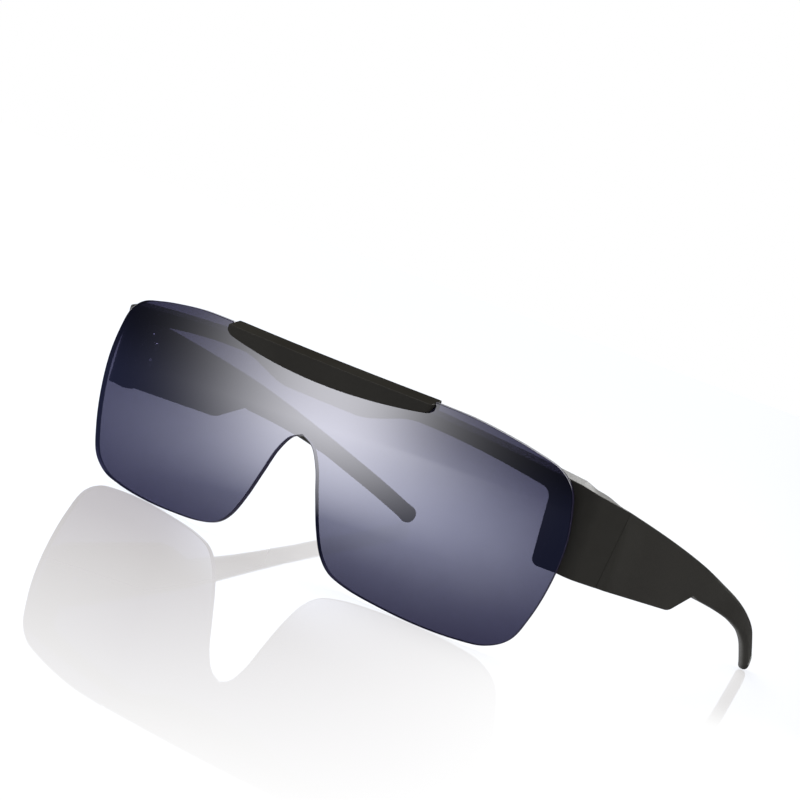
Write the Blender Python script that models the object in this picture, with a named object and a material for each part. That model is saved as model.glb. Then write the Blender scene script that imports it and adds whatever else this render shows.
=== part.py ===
"""Flip-up sunglasses worn over a pair of spectacles.

A half-rim front carries two wide temples. A one-piece tinted shield hangs in front of it
from a bar, and flips up about a small pin hinge in the middle of the front.

All lengths below are millimetres; put() scales every mesh to metres. The parts are drawn
in the front's own axes: +X to one side, +Y back to the temple tips, +Z up, with the origin
on the lens's centre line level with the bar. The empty "stance" then leans the whole thing
back so that the lens's lower edge and both temple tips stand on z = 0.
"""

import math

import bmesh
import bpy
from mathutils import Matrix, Vector

MM = 0.001

# Stance: the lean of the front when the glasses stand on a table, and where they stand.
STANCE_LEAN = math.radians(3.7)
STANCE_SHIFT_Y = -82.94
STANCE_SHIFT_Z = 51.12

# Lens shield: part of a barrel-shaped sheet.
WRAP_RADIUS = 272.0
RISE_RADIUS = 400.0
RISE_CENTRE_Z = -27.0
LENS_THICKNESS = 1.6
LENS_UNDER_BAR_Z = -1.8
LENS_UNDER_BAR_X = 32.0
# Half of the lens's edge, from beside the bar, round the outer lobe, to the nose notch.
LENS_EDGE = (
    (32.4, -0.1), (42.0, -0.4), (50.0, -1.3), (58.5, -2.8), (65.5, -4.8), (69.3, -8.2),
    (71.2, -14.1), (72.1, -21.5), (71.3, -31.0), (69.1, -40.0), (66.1, -46.6),
    (61.0, -49.9), (54.0, -51.1), (43.5, -51.5), (33.0, -51.0), (23.4, -49.9),
    (17.9, -48.2), (14.5, -45.1), (11.5, -39.6), (8.5, -31.7), (6.1, -25.2),
    (3.3, -21.0), (0.0, -19.4),
)

# Front frame: one sheet bent round the brow, the corner and the short side wall.
FRONT_RADIUS = 269.0
FRONT_THICKNESS = 3.0
CORNER_RADIUS = 6.0
SIDE_HEADING = math.radians(69.5)
TOP_RIDGE_RISE = 1.1
TOP_RIDGE_END_RISE = 0.1
BROW_TOP_Z = -2.6
BROW_TOP_FALL = 4.0
BROW_TOP_FALL_AT = 68.6
BRIDGE_LOW_Z = -10.4
BRIDGE_HALF_WIDTH = 10.5
BROW_LOW_Z = -6.4
BROW_LOW_START = 27.5
BROW_LOW_END = 60.5
BROW_LOW_FALL = 3.3
TAB_INNER_X = 64.0
TAB_LOW_Z = -28.3
HINGE_POCKET_HALF_WIDTH = 8.9
HINGE_POCKET_Z = -6.5

# Temple hinge line: the joint between the front and a temple, leaning forward at its foot.
JOINT_X = 77.8
JOINT_TOP_Y = 25.2
JOINT_TOP_Z = -10.5
JOINT_LOW_Z = -30.2
JOINT_LEAN = math.radians(9.6)
JOINT_GAP = 0.3

# Temples.
TEMPLE_THICKNESS = 3.0
TEMPLE_TOE_IN = math.radians(1.8)
TEMPLE_BEND_START = 77.0
TEMPLE_BEND_RADIUS = 139.0
TEMPLE_BEND_ANGLE = math.radians(16.0)
TEMPLE_TOP_SLOPE = 0.24
TEMPLE_TOP_DROOP = 2.31e-5
TEMPLE_TOP_DROOP_POWER = 2.7
TEMPLE_END_Y = 160.3
TIP_RADIUS = 2.7
NOTCH_LOW = (65.1, -36.2)
NOTCH_HIGH = (77.8, -32.6)
PADDLE_HEIGHTS = ((77.8, 8.9), (95.0, 7.4), (110.0, 6.2), (122.0, 5.6), (160.3, 5.6))
INNER_BEVEL_WIDTH = 4.2
INNER_BEVEL_DEPTH = 1.6
INNER_BEVEL_END_Y = 100.0

# Temple hinges: metal leaves, a shared barrel and screws.
BARREL_X = 72.0
BARREL_MID_Z = -19.5
BARREL_RADIUS = 1.5
BARREL_BORE = 0.8
BARREL_HALF_LENGTH = 4.5
KNUCKLE_SPLIT = 1.5
KNUCKLE_GAP = 0.3
LEAF_THICKNESS = 0.9
LEAF_FACE_FRONT = 1.25
LEAF_FACE_TEMPLE = 2.25
LEAF_START = 2.0
LEAF_HALF_HEIGHT = 4.65
NECK_STEP = 0.1
LEAF_END = 6.9
LEAF_SCREW_ALONG = 4.9
LEAF_SCREW_UP = 2.3
SCREW_RADIUS = 0.6
SCREW_HEAD_RADIUS = 1.15
SCREW_HEAD_HEIGHT = 0.6
SCREW_CLEARANCE = 0.2
SCREW_BITE = 2.3
SEAT_GAP = 0.3

# Bar on the lens.
BAR_HALF_LENGTH = 31.6
BAR_FRONT = -1.5
BAR_BACK = 3.0
BAR_FRONT_TOP_Z = -0.9
BAR_BACK_TOP_Z = 0.4
BAR_MID_LOW_Z = -6.0
BAR_END_LOW_Z = -3.1
BAR_SLOT_FRONT = -0.3
BAR_SLOT_BACK = 1.9
BAR_SLOT_TOP_Z = -1.45
BAR_LIP_LOW_Z = -2.0
BAR_END_ROUND = 2.5
BAR_END_RISE = 1.3
BAR_BACK_TAPER = 0.6

# Flip hinge in the pocket at the middle of the front.
PIVOT_Y = 6.0
PIVOT_Z = -1.9
FLIP_BARREL_RADIUS = 1.7
FLIP_FLAT = 1.5
FLIP_PIN_RADIUS = 0.55
FLIP_BORE = 0.75
FLIP_KNUCKLE_HALF = 3.7
FLIP_EAR_IN = 4.0
FLIP_EAR_OUT = 5.6
FLIP_PLATE_HALF = 8.2
FLIP_PLATE_FRONT = 2.85
FLIP_PLATE_BACK = 3.75
FLIP_PLATE_TOP_Z = -2.3
FLIP_PLATE_LOW_Z = -6.1
BAR_SCREW_X = 6.4
BAR_SCREW_Z = -4.2
BASE_FRONT = 6.35
BASE_BACK = 7.35
BASE_HALF = 8.4
BASE_TOP_Z = -3.9
BASE_LOW_Z = -10.2
BASE_SCREW_X = 6.2
BASE_SCREW_Z = -8.2
SPRING_HALF = 2.5
SPRING_FRONT = 7.85
SPRING_THICKNESS = 0.35
SPRING_TOP_Z = -0.6
SPRING_KICK = 0.6
SPRING_LOW_Z = -9.8
SPRING_SCREW_Z = -8.2

# Bumper pads between the lens and the front's outer tabs.
PAD_X = 69.0
PAD_MID_Z = -18.0
PAD_HALF_LENGTH = 8.0
PAD_HALF_WIDTH = 1.8
PAD_STAND_OFF = 0.2
PAD_LENS_GAP = 0.3

# Plain oval inlays on the temple tips.
INLAY_Y = 158.0
INLAY_DROP = 2.9
INLAY_RADIUS = 1.3
INLAY_DEPTH = 0.6


# ---------------------------------------------------------------- materials

def make_material(name, colour, roughness, metallic=0.0, alpha=1.0):
    material = bpy.data.materials.new(name)
    material.use_nodes = True
    shader = material.node_tree.nodes["Principled BSDF"]
    shader.inputs["Base Color"].default_value = (*colour, 1.0)
    shader.inputs["Roughness"].default_value = roughness
    shader.inputs["Metallic"].default_value = metallic
    shader.inputs["Alpha"].default_value = alpha
    return material


# ---------------------------------------------------------------- outlines

def spline(points, steps):
    """Points along a centripetal Catmull-Rom curve through the given points."""
    ends = [2 * Vector(points[0]) - Vector(points[1])]
    ends += [Vector(p) for p in points]
    ends += [2 * Vector(points[-1]) - Vector(points[-2])]
    curve = []
    for a, b, c, d in zip(ends, ends[1:], ends[2:], ends[3:]):
        ta = 0.0
        tb = ta + math.sqrt((b - a).length)
        tc = tb + math.sqrt((c - b).length)
        td = tc + math.sqrt((d - c).length)
        for i in range(steps):
            t = tb + (tc - tb) * i / steps
            ab = a.lerp(b, (t - ta) / (tb - ta))
            bc = b.lerp(c, (t - tb) / (tc - tb))
            cd = c.lerp(d, (t - tc) / (td - tc))
            abc = ab.lerp(bc, (t - ta) / (tc - ta))
            bcd = bc.lerp(cd, (t - tb) / (td - tb))
            curve.append(tuple(abc.lerp(bcd, (t - tb) / (tc - tb))))
    curve.append(tuple(points[-1]))
    return curve


def rounded(corners, steps=4):
    """Open polyline through (x, z, radius) corners, each turned by an arc of its radius."""
    path = []
    last = len(corners) - 1
    for i, (x, z, radius) in enumerate(corners):
        here = Vector((x, z))
        if radius == 0 or i in (0, last):
            path.append((x, z))
            continue
        before = (Vector(corners[i - 1][:2]) - here).normalized()
        after = (Vector(corners[i + 1][:2]) - here).normalized()
        half = before.angle(after) / 2
        reach = radius / math.tan(half)
        centre = here + (before + after).normalized() * radius / math.sin(half)
        start = here + before * reach - centre
        finish = here + after * reach - centre
        for k in range(steps + 1):
            spoke = start.lerp(finish, k / steps).normalized() * radius
            path.append(tuple(centre + spoke))
    return path


def mirrored(half):
    """A closed outline from its +X half, which runs from the centre line to the centre line."""
    other = [(-x, z) for x, z in reversed(half) if x > 1e-6]
    return half + other


def circle(radius, count, turn=0.0):
    angles = [turn + 2 * math.pi * i / count for i in range(count)]
    return [(radius * math.cos(a), radius * math.sin(a)) for a in angles]


def arc(centre, radius, start, end, steps):
    """Points round part of a circle, angles in degrees."""
    angles = [math.radians(start + (end - start) * i / steps) for i in range(steps + 1)]
    return [(centre[0] + radius * math.cos(a), centre[1] + radius * math.sin(a)) for a in angles]


def blend(t):
    """Smooth 0 to 1 step."""
    t = min(max(t, 0.0), 1.0)
    return t * t * (3 - 2 * t)


def between(table, x):
    """Straight-line reading of a short table of (x, value) pairs."""
    for (xa, a), (xb, b) in zip(table, table[1:]):
        if x <= xb:
            return a + (b - a) * max(x - xa, 0.0) / (xb - xa)
    return table[-1][1]


# ---------------------------------------------------------------- solids

def put(bm, name, material, parent, smooth=35.0):
    """Turn a bmesh in millimetres into a named object under an empty."""
    bmesh.ops.recalc_face_normals(bm, faces=bm.faces)
    bmesh.ops.scale(bm, vec=(MM, MM, MM), verts=bm.verts)
    mesh = bpy.data.meshes.new(name)
    bm.to_mesh(mesh)
    bm.free()
    mesh.materials.append(material)
    mesh.shade_smooth()
    mesh.set_sharp_from_angle(angle=math.radians(smooth))
    thing = bpy.data.objects.new(name, mesh)
    bpy.context.scene.collection.objects.link(thing)
    thing.parent = parent
    return thing


def slice_at(bm, point, normal):
    geometry = bm.verts[:] + bm.edges[:] + bm.faces[:]
    bmesh.ops.bisect_plane(bm, geom=geometry, dist=1e-5, plane_co=point, plane_no=normal)


def trim(bm, point, normal):
    """Cut away everything on the normal's side of a plane, and close the cut."""
    geometry = bm.verts[:] + bm.edges[:] + bm.faces[:]
    bmesh.ops.bisect_plane(
        bm, geom=geometry, dist=1e-5, plane_co=point, plane_no=normal, clear_outer=True
    )
    rim = [edge for edge in bm.edges if edge.is_boundary]
    bmesh.ops.holes_fill(bm, edges=rim)


def extrude_sheet(bm, step):
    """Give the flat faces a second layer, moved by step, and walls between the two."""
    layer = bmesh.ops.extrude_face_region(bm, geom=bm.faces[:], use_keep_orig=True)
    moved = [item for item in layer["geom"] if isinstance(item, bmesh.types.BMVert)]
    bmesh.ops.translate(bm, vec=step, verts=moved)


def bent_sheet(outline, place, x_cuts, z_cuts=()):
    """A closed sheet. The outline is drawn flat and sliced into strips, then place(x, z, depth)
    bends it, with depth 0 on the outer face and 1 on the inner face."""
    bm = bmesh.new()
    bm.faces.new([bm.verts.new((x, 0.0, z)) for x, z in outline])
    for x in x_cuts:
        slice_at(bm, (x, 0, 0), (1, 0, 0))
    for z in z_cuts:
        slice_at(bm, (0, 0, z), (0, 0, 1))
    bend(bm, place)
    return bm


def bend(bm, place):
    """Thicken a flat drawing, bend it with place(), and split the faces that no longer lie flat."""
    extrude_sheet(bm, (0, 1, 0))
    for vert in bm.verts:
        vert.co = place(vert.co.x, vert.co.z, vert.co.y)
    wide = [face for face in bm.faces if len(face.verts) > 4]
    bmesh.ops.triangulate(bm, faces=wide)


def prism(loops, depth):
    """A flat shape with holes, drawn in XY, extruded along +Z from z = 0."""
    bm = bmesh.new()
    edges = []
    for loop in loops:
        verts = [bm.verts.new((x, y, 0.0)) for x, y in loop]
        edges += [bm.edges.new(pair) for pair in zip(verts, verts[1:] + verts[:1])]
    bmesh.ops.triangle_fill(bm, use_beauty=True, use_dissolve=False, edges=edges)
    extrude_sheet(bm, (0, 0, depth))
    return bm


def steps_of_revolution(profile, count):
    """A closed turned solid about Z from (radius, z) steps; its two ends are flat discs."""
    bm = bmesh.new()
    rings = []
    for radius, z in profile:
        rings.append([bm.verts.new((x, y, z)) for x, y in circle(radius, count)])
    for low, high in zip(rings, rings[1:]):
        for i in range(count):
            j = (i + 1) % count
            bm.faces.new((low[i], low[j], high[j], high[i]))
    bm.faces.new(rings[0])
    bm.faces.new(rings[-1])
    return bm


def axes(right, up, origin):
    """Matrix whose local X and Z run along the two given directions."""
    x = Vector(right).normalized()
    z = Vector(up).normalized()
    y = z.cross(x)
    matrix = Matrix((x, y, z)).transposed().to_4x4()
    matrix.translation = Vector(origin)
    return matrix


def boolean(target, tool, operation):
    """Join or cut target with tool, which stays in the file as a wire guide."""
    tool.hide_render = True
    tool.display_type = "WIRE"
    modifier = target.modifiers.new(operation.lower(), "BOOLEAN")
    modifier.operation = operation
    modifier.solver = "EXACT"
    modifier.object = tool


# ---------------------------------------------------------------- lens

def lens_front_y(x, z):
    wrap = WRAP_RADIUS - math.sqrt(WRAP_RADIUS**2 - x * x)
    rise = RISE_RADIUS - math.sqrt(RISE_RADIUS**2 - (z - RISE_CENTRE_Z) ** 2)
    return wrap + rise


def lens_outline():
    top = [(0.0, LENS_UNDER_BAR_Z), (LENS_UNDER_BAR_X, LENS_UNDER_BAR_Z)]
    return mirrored(top + spline(LENS_EDGE, 4))


def place_on_lens(x, z, depth):
    """Square to the wrap, so the sheet keeps its thickness out to the sides."""
    slope = x / math.sqrt(WRAP_RADIUS**2 - x * x)
    run = LENS_THICKNESS * depth / math.hypot(1.0, slope)
    return Vector((x - run * slope, lens_front_y(x, z) + run, z))


def make_lens(material, parent):
    x_cuts = [6.0 * i for i in range(-12, 13)]
    z_cuts = [-8.0 * i for i in range(1, 7)]
    bm = bent_sheet(lens_outline(), place_on_lens, x_cuts, z_cuts)
    lens = put(bm, "lens_shield", material, parent)
    for side in (-1, 1):
        hole = drill("lens_hole", SCREW_RADIUS + SCREW_CLEARANCE, (side * BAR_SCREW_X, -2.0, BAR_SCREW_Z),
                     (0, 1, 0), 8.0, parent)
        boolean(lens, hole, "DIFFERENCE")
    return lens


# ---------------------------------------------------------------- front frame

def corner_start_heading():
    """Heading where the brow's arc runs into the corner, so that the side wall ends on the joint."""
    reach = JOINT_X * math.sin(SIDE_HEADING) - JOINT_TOP_Y * math.cos(SIDE_HEADING)
    reach += WRAP_RADIUS * math.cos(SIDE_HEADING) - CORNER_RADIUS
    return SIDE_HEADING - math.acos(reach / (FRONT_RADIUS - CORNER_RADIUS))


CORNER_HEADING = corner_start_heading()
BROW_LENGTH = FRONT_RADIUS * CORNER_HEADING
CORNER_LENGTH = CORNER_RADIUS * (SIDE_HEADING - CORNER_HEADING)


def front_path(s):
    """Point and outward direction on the front's outer face at distance s from the middle."""
    side = -1.0 if s < 0 else 1.0
    s = abs(s)
    if s <= BROW_LENGTH:
        heading = s / FRONT_RADIUS
        x = FRONT_RADIUS * math.sin(heading)
        y = WRAP_RADIUS - FRONT_RADIUS * math.cos(heading)
    else:
        turn = min(s - BROW_LENGTH, CORNER_LENGTH) / CORNER_RADIUS
        heading = CORNER_HEADING + turn
        inner = FRONT_RADIUS - CORNER_RADIUS
        x = inner * math.sin(CORNER_HEADING) + CORNER_RADIUS * math.sin(heading)
        y = WRAP_RADIUS - inner * math.cos(CORNER_HEADING) - CORNER_RADIUS * math.cos(heading)
        straight = max(s - BROW_LENGTH - CORNER_LENGTH, 0.0)
        x += straight * math.cos(heading)
        y += straight * math.sin(heading)
    return Vector((side * x, y)), Vector((side * math.sin(heading), -math.cos(heading)))


def side_length():
    """Distance from the middle of the front to the joint, along its outer face."""
    start = front_path(BROW_LENGTH + CORNER_LENGTH)[0]
    return BROW_LENGTH + CORNER_LENGTH + (JOINT_TOP_Y - start.y) / math.sin(SIDE_HEADING)


SIDE_LENGTH = side_length()


def brow_top(s):
    at_corner = BROW_TOP_Z - BROW_TOP_FALL * (BROW_LENGTH / BROW_TOP_FALL_AT) ** 2
    if s <= BROW_LENGTH:
        return BROW_TOP_Z - BROW_TOP_FALL * (s / BROW_TOP_FALL_AT) ** 2
    return at_corner + (JOINT_TOP_Z - at_corner) * (s - BROW_LENGTH) / (SIDE_LENGTH - BROW_LENGTH)


def brow_low(s):
    """Lower edge of the brow, which dips to the bridge in the middle."""
    dip = blend((s - BRIDGE_HALF_WIDTH) / (BROW_LOW_START - BRIDGE_HALF_WIDTH))
    fall = max(s - BROW_LOW_START, 0.0) / (BROW_LOW_END - BROW_LOW_START)
    return BRIDGE_LOW_Z + (BROW_LOW_Z - BRIDGE_LOW_Z) * dip - BROW_LOW_FALL * fall**1.8


def front_outline():
    overrun = SIDE_LENGTH + 3.0
    stations = [0.0, 8.9, 16.0, 24.0, 34.0, 44.0, 52.0, 60.0, 66.0, BROW_LENGTH]
    top = [(s, brow_top(s)) for s in stations]
    top += [(SIDE_LENGTH, brow_top(SIDE_LENGTH)), (overrun, brow_top(overrun))]
    low_slope = (JOINT_LOW_Z - TAB_LOW_Z) / (SIDE_LENGTH - BROW_LENGTH)
    corners = [
        (overrun, JOINT_LOW_Z + 3.0 * low_slope, 0.0),
        (BROW_LENGTH, TAB_LOW_Z, 0.0),
        (TAB_INNER_X + 0.8, TAB_LOW_Z, 1.8),
        (TAB_INNER_X, brow_low(TAB_INNER_X), 2.6),
        (BROW_LOW_END - 2.0, brow_low(BROW_LOW_END - 2.0), 0.0),
    ]
    low = [(s, brow_low(s)) for s in (54.0, 48.0, 41.0, 34.0, 27.5, 24.0, 20.5, 17.5, 14.0, 10.5, 0.0)]
    return mirrored(top + rounded(corners) + low)


def ridge_rise(s):
    """How far the inner face's upper edge stands above the outer one: less towards the joint."""
    along = (s - BROW_LENGTH - CORNER_LENGTH) / (SIDE_LENGTH - BROW_LENGTH - CORNER_LENGTH)
    return TOP_RIDGE_RISE + (TOP_RIDGE_END_RISE - TOP_RIDGE_RISE) * blend(along)


def place_on_front(s, z, depth):
    """The inner face's upper edge stands higher, so that the top is a sloping ledge."""
    point, outward = front_path(s)
    at_top = z > brow_top(abs(s)) - 0.3
    lift = ridge_rise(abs(s)) * depth if at_top else 0.0
    inner = point - outward * FRONT_THICKNESS * depth
    return Vector((inner.x, inner.y, z + lift))


def joint_plane(side):
    """A point on the joint plane and its direction back along the temple."""
    back = Vector((0, math.cos(JOINT_LEAN), -math.sin(JOINT_LEAN)))
    return Vector((side * JOINT_X, JOINT_TOP_Y, JOINT_TOP_Z)), back


def make_front(material, parent):
    corner_cuts = [BROW_LENGTH + CORNER_LENGTH * i / 4 for i in range(5)]
    cuts = [6.0 * i for i in range(1, 11)] + [65.5, 68.5] + corner_cuts
    cuts = [-s for s in reversed(cuts)] + [0.0] + cuts
    bm = bent_sheet(front_outline(), place_on_front, cuts)
    point, back = joint_plane(1)
    trim(bm, point - back * JOINT_GAP / 2, back)
    front = put(bm, "front_frame", material, parent)

    pocket = box("hinge_pocket", (-HINGE_POCKET_HALF_WIDTH, 0.0, HINGE_POCKET_Z),
                 (HINGE_POCKET_HALF_WIDTH, 12.0, 4.0), parent)
    boolean(front, pocket, "DIFFERENCE")
    hole = SCREW_RADIUS + SCREW_CLEARANCE
    for x, z in ((-BASE_SCREW_X, BASE_SCREW_Z), (BASE_SCREW_X, BASE_SCREW_Z), (0.0, SPRING_SCREW_Z)):
        cutter = drill("base_hole", hole, (x, 3.9, z), (0, 1, 0), 5.0, parent)
        boolean(front, cutter, "DIFFERENCE")
    for side in (-1, 1):
        for up in (-LEAF_SCREW_UP, LEAF_SCREW_UP):
            cutter = leaf_drill(side, -1, up, hinge_matrix(side), parent)
            boolean(front, cutter, "DIFFERENCE")
    return front


# ---------------------------------------------------------------- temples

def temple_path(t):
    """Point and outward direction on the right temple's outer face, t behind the joint."""
    bend = min(max(t - TEMPLE_BEND_START, 0.0) / TEMPLE_BEND_RADIUS, TEMPLE_BEND_ANGLE)
    straight = min(t, TEMPLE_BEND_START)
    x = JOINT_X - straight * math.sin(TEMPLE_TOE_IN)
    y = JOINT_TOP_Y + straight * math.cos(TEMPLE_TOE_IN)
    heading = TEMPLE_TOE_IN + bend
    x -= TEMPLE_BEND_RADIUS * (math.cos(TEMPLE_TOE_IN) - math.cos(heading))
    y += TEMPLE_BEND_RADIUS * (math.sin(heading) - math.sin(TEMPLE_TOE_IN))
    rest = max(t - TEMPLE_BEND_START - TEMPLE_BEND_RADIUS * TEMPLE_BEND_ANGLE, 0.0)
    x -= rest * math.sin(heading)
    y += rest * math.cos(heading)
    return Vector((x, y)), Vector((math.cos(heading), math.sin(heading)))


def temple_top(y):
    run = max(y - JOINT_TOP_Y, 0.0)
    droop = TEMPLE_TOP_DROOP * run**TEMPLE_TOP_DROOP_POWER
    return JOINT_TOP_Z - TEMPLE_TOP_SLOPE * (y - JOINT_TOP_Y) - droop


def temple_low(y):
    return temple_top(y) - between(PADDLE_HEIGHTS, y)


def temple_outline():
    """Side view in (y, z), from the joint along the top, round the tip and back underneath."""
    start = JOINT_TOP_Y - 6.0
    top_stations = [start, 36.0, 48.0, 60.0, 72.0, 84.0, 96.0, 108.0, 120.0, 130.0, 140.0, 150.0]
    top = [(y, temple_top(y)) for y in top_stations]
    slope = temple_top(TEMPLE_END_Y) - temple_top(TEMPLE_END_Y - 1.0)
    down = math.degrees(math.atan(slope))
    centre = (TEMPLE_END_Y, (temple_top(TEMPLE_END_Y) + temple_low(TEMPLE_END_Y)) / 2)
    tip = arc(centre, TIP_RADIUS, down + 90, down - 90, 8)
    low_stations = [150.0, 140.0, 130.0, 120.0, 110.0, 100.0, 90.0, 82.0]
    paddle = [(y, temple_low(y)) for y in low_stations]
    low_slope = (NOTCH_LOW[1] - JOINT_LOW_Z) / (NOTCH_LOW[0] - JOINT_TOP_Y)
    notch = rounded([
        (82.0, temple_low(82.0), 0.0),
        (*NOTCH_HIGH, 2.0),
        (*NOTCH_LOW, 10.0),
        (start, JOINT_LOW_Z - 6.0 * low_slope, 0.0),
    ])
    return top + tip + paddle[:-1] + notch


def place_on_temple(side):
    def place(y, z, depth):
        """Outlines are drawn against y, which the temple's path nearly follows."""
        run = y - JOINT_TOP_Y
        along = run / math.cos(TEMPLE_TOE_IN)
        for _ in range(6):
            along += JOINT_TOP_Y + run - temple_path(along)[0].y
        point, outward = temple_path(along)
        below = temple_top(y) - z
        taper = blend((INNER_BEVEL_END_Y - y) / 60.0)
        reach = max(INNER_BEVEL_WIDTH * taper, 0.01)
        bevel = INNER_BEVEL_DEPTH * taper * max(1.0 - below / reach, 0.0)
        inner = point - outward * (TEMPLE_THICKNESS - bevel) * depth
        return Vector((side * inner.x, inner.y, z))
    return place


def make_temple(side, name, material, parent):
    cuts = [22.0, 30.0] + [40.0 + 10.0 * i for i in range(6)] + [94.0 + 6.0 * i for i in range(12)]
    outline = temple_outline()
    bm = bmesh.new()
    bm.faces.new([bm.verts.new((y, 0.0, z)) for y, z in outline])
    for y in cuts:
        slice_at(bm, (y, 0, 0), (1, 0, 0))
    start, end = JOINT_TOP_Y - 8.0, INNER_BEVEL_END_Y
    line = (temple_top(end) - temple_top(start) + INNER_BEVEL_WIDTH) / (end - start)
    point = (start, 0, temple_top(start) - INNER_BEVEL_WIDTH)
    slice_at(bm, point, (-line, 0, 1))
    bend(bm, place_on_temple(side))
    point, back = joint_plane(side)
    trim(bm, point + back * JOINT_GAP / 2, -back)
    hinge = hinge_matrix(side)
    bm.transform(hinge.inverted())
    temple = put(bm, name, material, parent)
    for up in (-LEAF_SCREW_UP, LEAF_SCREW_UP):
        boolean(temple, leaf_drill(side, 1, up, Matrix(), parent), "DIFFERENCE")
    recess = inlay_solid(side, INLAY_RADIUS + 0.25, -INLAY_DEPTH, 1.0)
    recess.transform(hinge.inverted())
    boolean(temple, put(recess, name + "_recess", material, parent), "DIFFERENCE")
    return temple


# ---------------------------------------------------------------- temple hinges

def hinge_matrix(side):
    """Hinge axes: Z up the barrel, X outward, Y back along the right temple; mirrored on the left."""
    up = Vector((0, math.sin(JOINT_LEAN), math.cos(JOINT_LEAN)))
    drop = (BARREL_MID_Z - JOINT_TOP_Z) / up.z
    centre = Vector((side * BARREL_X, JOINT_TOP_Y, JOINT_TOP_Z)) + up * drop
    return axes((1, 0, 0), up, centre)


def leaf_matrix(side, end):
    """Axes of one leaf in the hinge's own axes: the front leaf lies along the slanting side wall."""
    slant = 0.0 if end > 0 else -side * (math.pi / 2 - SIDE_HEADING)
    return Matrix.Rotation(slant, 4, "Z")


def leaf_direction(side, end, u, v, w):
    """A point of a leaf: u outward from the barrel, v away from the joint, w up the barrel."""
    return leaf_matrix(side, end) @ Vector((side * u, end * v, w))


def leaf_face(end):
    """How far the leaf's face against the plastic stands from the barrel's axis."""
    return LEAF_FACE_TEMPLE if end > 0 else LEAF_FACE_FRONT


def leaf_drill(side, end, up, matrix, parent):
    """A hole from the inside of the wall, through the leaf, towards the outside."""
    tip = matrix @ leaf_direction(side, end, leaf_face(end) + SCREW_BITE, LEAF_SCREW_ALONG, up)
    inward = matrix.to_3x3() @ leaf_direction(side, end, -1, 0, 0)
    return drill("leaf_hole", SCREW_RADIUS + SCREW_CLEARANCE, tip, inward, SCREW_BITE + 2.0, parent)


def make_leaf(side, end, name, knuckles, material, parent):
    """A plate beside the barrel, with one or two knuckles round the pin."""
    gap = KNUCKLE_GAP / 2
    face = leaf_face(end)
    back = face - LEAF_THICKNESS
    corners = [
        leaf_direction(side, end, u, v, w)
        for w in (-LEAF_HALF_HEIGHT, LEAF_HALF_HEIGHT)
        for u, v in ((back, LEAF_START), (face, LEAF_START), (face, LEAF_END), (back, LEAF_END))
    ]
    plate = put(block(corners), name, material, parent)
    for up in (-LEAF_SCREW_UP, LEAF_SCREW_UP):
        boolean(plate, leaf_drill(side, end, up, Matrix(), parent), "DIFFERENCE")
    for low, high in knuckles:
        ring = knuckle_profile(side, end)
        bm = prism([ring, circle(BARREL_BORE, 16)], high - low - 2 * gap)
        bmesh.ops.translate(bm, vec=(0, 0, low + gap), verts=bm.verts)
        boolean(plate, put(bm, name + "_knuckle", material, parent), "UNION")
    return plate


def knuckle_profile(side, end):
    """Round barrel with a neck that runs into the plate."""
    face = leaf_face(end)
    back = face - LEAF_THICKNESS + NECK_STEP
    start = math.degrees(math.asin(back / BARREL_RADIUS))
    points = arc((0, 0), BARREL_RADIUS, start + 58.0, 360.0 + start, 14)
    neck = [(LEAF_START + 0.5, back), (LEAF_START + 0.5, face - NECK_STEP)]
    profile = points + neck
    turn = leaf_matrix(side, end)
    placed = [turn @ Vector((side * u, end * v, 0)) for v, u in profile]
    return [(p.x, p.y) for p in placed]


def make_temple_hinge(side, tag, metal, screw_metal, stance, hinge):
    outer = (KNUCKLE_SPLIT, BARREL_HALF_LENGTH + KNUCKLE_GAP / 2)
    inner = (-BARREL_HALF_LENGTH - KNUCKLE_GAP / 2, -KNUCKLE_SPLIT)
    make_leaf(side, -1, "hinge_leaf_front_" + tag, (outer, inner), metal, stance)
    middle = ((-KNUCKLE_SPLIT, KNUCKLE_SPLIT),)
    make_leaf(side, 1, "hinge_leaf_temple_" + tag, middle, metal, hinge)
    for place, up in (("upper", LEAF_SCREW_UP), ("lower", -LEAF_SCREW_UP)):
        for end, where, parent in ((-1, "front", stance), (1, "temple", hinge)):
            seat = leaf_direction(side, end, leaf_face(end) - LEAF_THICKNESS - SEAT_GAP, LEAF_SCREW_ALONG, up)
            out = leaf_direction(side, end, 1, 0, 0)
            reach = LEAF_THICKNESS + SCREW_BITE - 0.2
            make_screw(f"{where}_screw_{tag}_{place}", seat, out, reach, screw_metal, parent)
    make_hinge_pin(tag, screw_metal, stance)


def make_hinge_pin(tag, material, parent):
    """The hinge screw: a slotted head on top of the barrel and a plain shank through it."""
    top = BARREL_HALF_LENGTH + 0.2
    profile = [(0.6, -BARREL_HALF_LENGTH + 0.2), (0.6, top), (1.2, top), (1.2, top + 0.5), (0.95, top + 0.75)]
    bm = steps_of_revolution(profile, 16)
    pin = put(bm, "hinge_screw_" + tag, material, parent)
    slot = box("slot", (-2.0, -0.18, top + 0.45), (2.0, 0.18, top + 2.0), parent)
    boolean(pin, slot, "DIFFERENCE")
    return pin


# ---------------------------------------------------------------- small solids

def block(corners):
    """A box-like solid from four corners below and the same four above."""
    bm = bmesh.new()
    v = [bm.verts.new(c) for c in corners]
    for a, b, c, d in ((0, 1, 2, 3), (4, 5, 6, 7), (0, 1, 5, 4), (1, 2, 6, 5), (2, 3, 7, 6), (3, 0, 4, 7)):
        bm.faces.new((v[a], v[b], v[c], v[d]))
    return bm


def box(name, low, high, parent, material=None):
    (xa, ya, za), (xb, yb, zb) = low, high
    corners = [(x, y, z) for z in (za, zb) for x, y in ((xa, ya), (xb, ya), (xb, yb), (xa, yb))]
    return put(block(corners), name, material or MATERIALS["tool"], parent)


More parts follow.
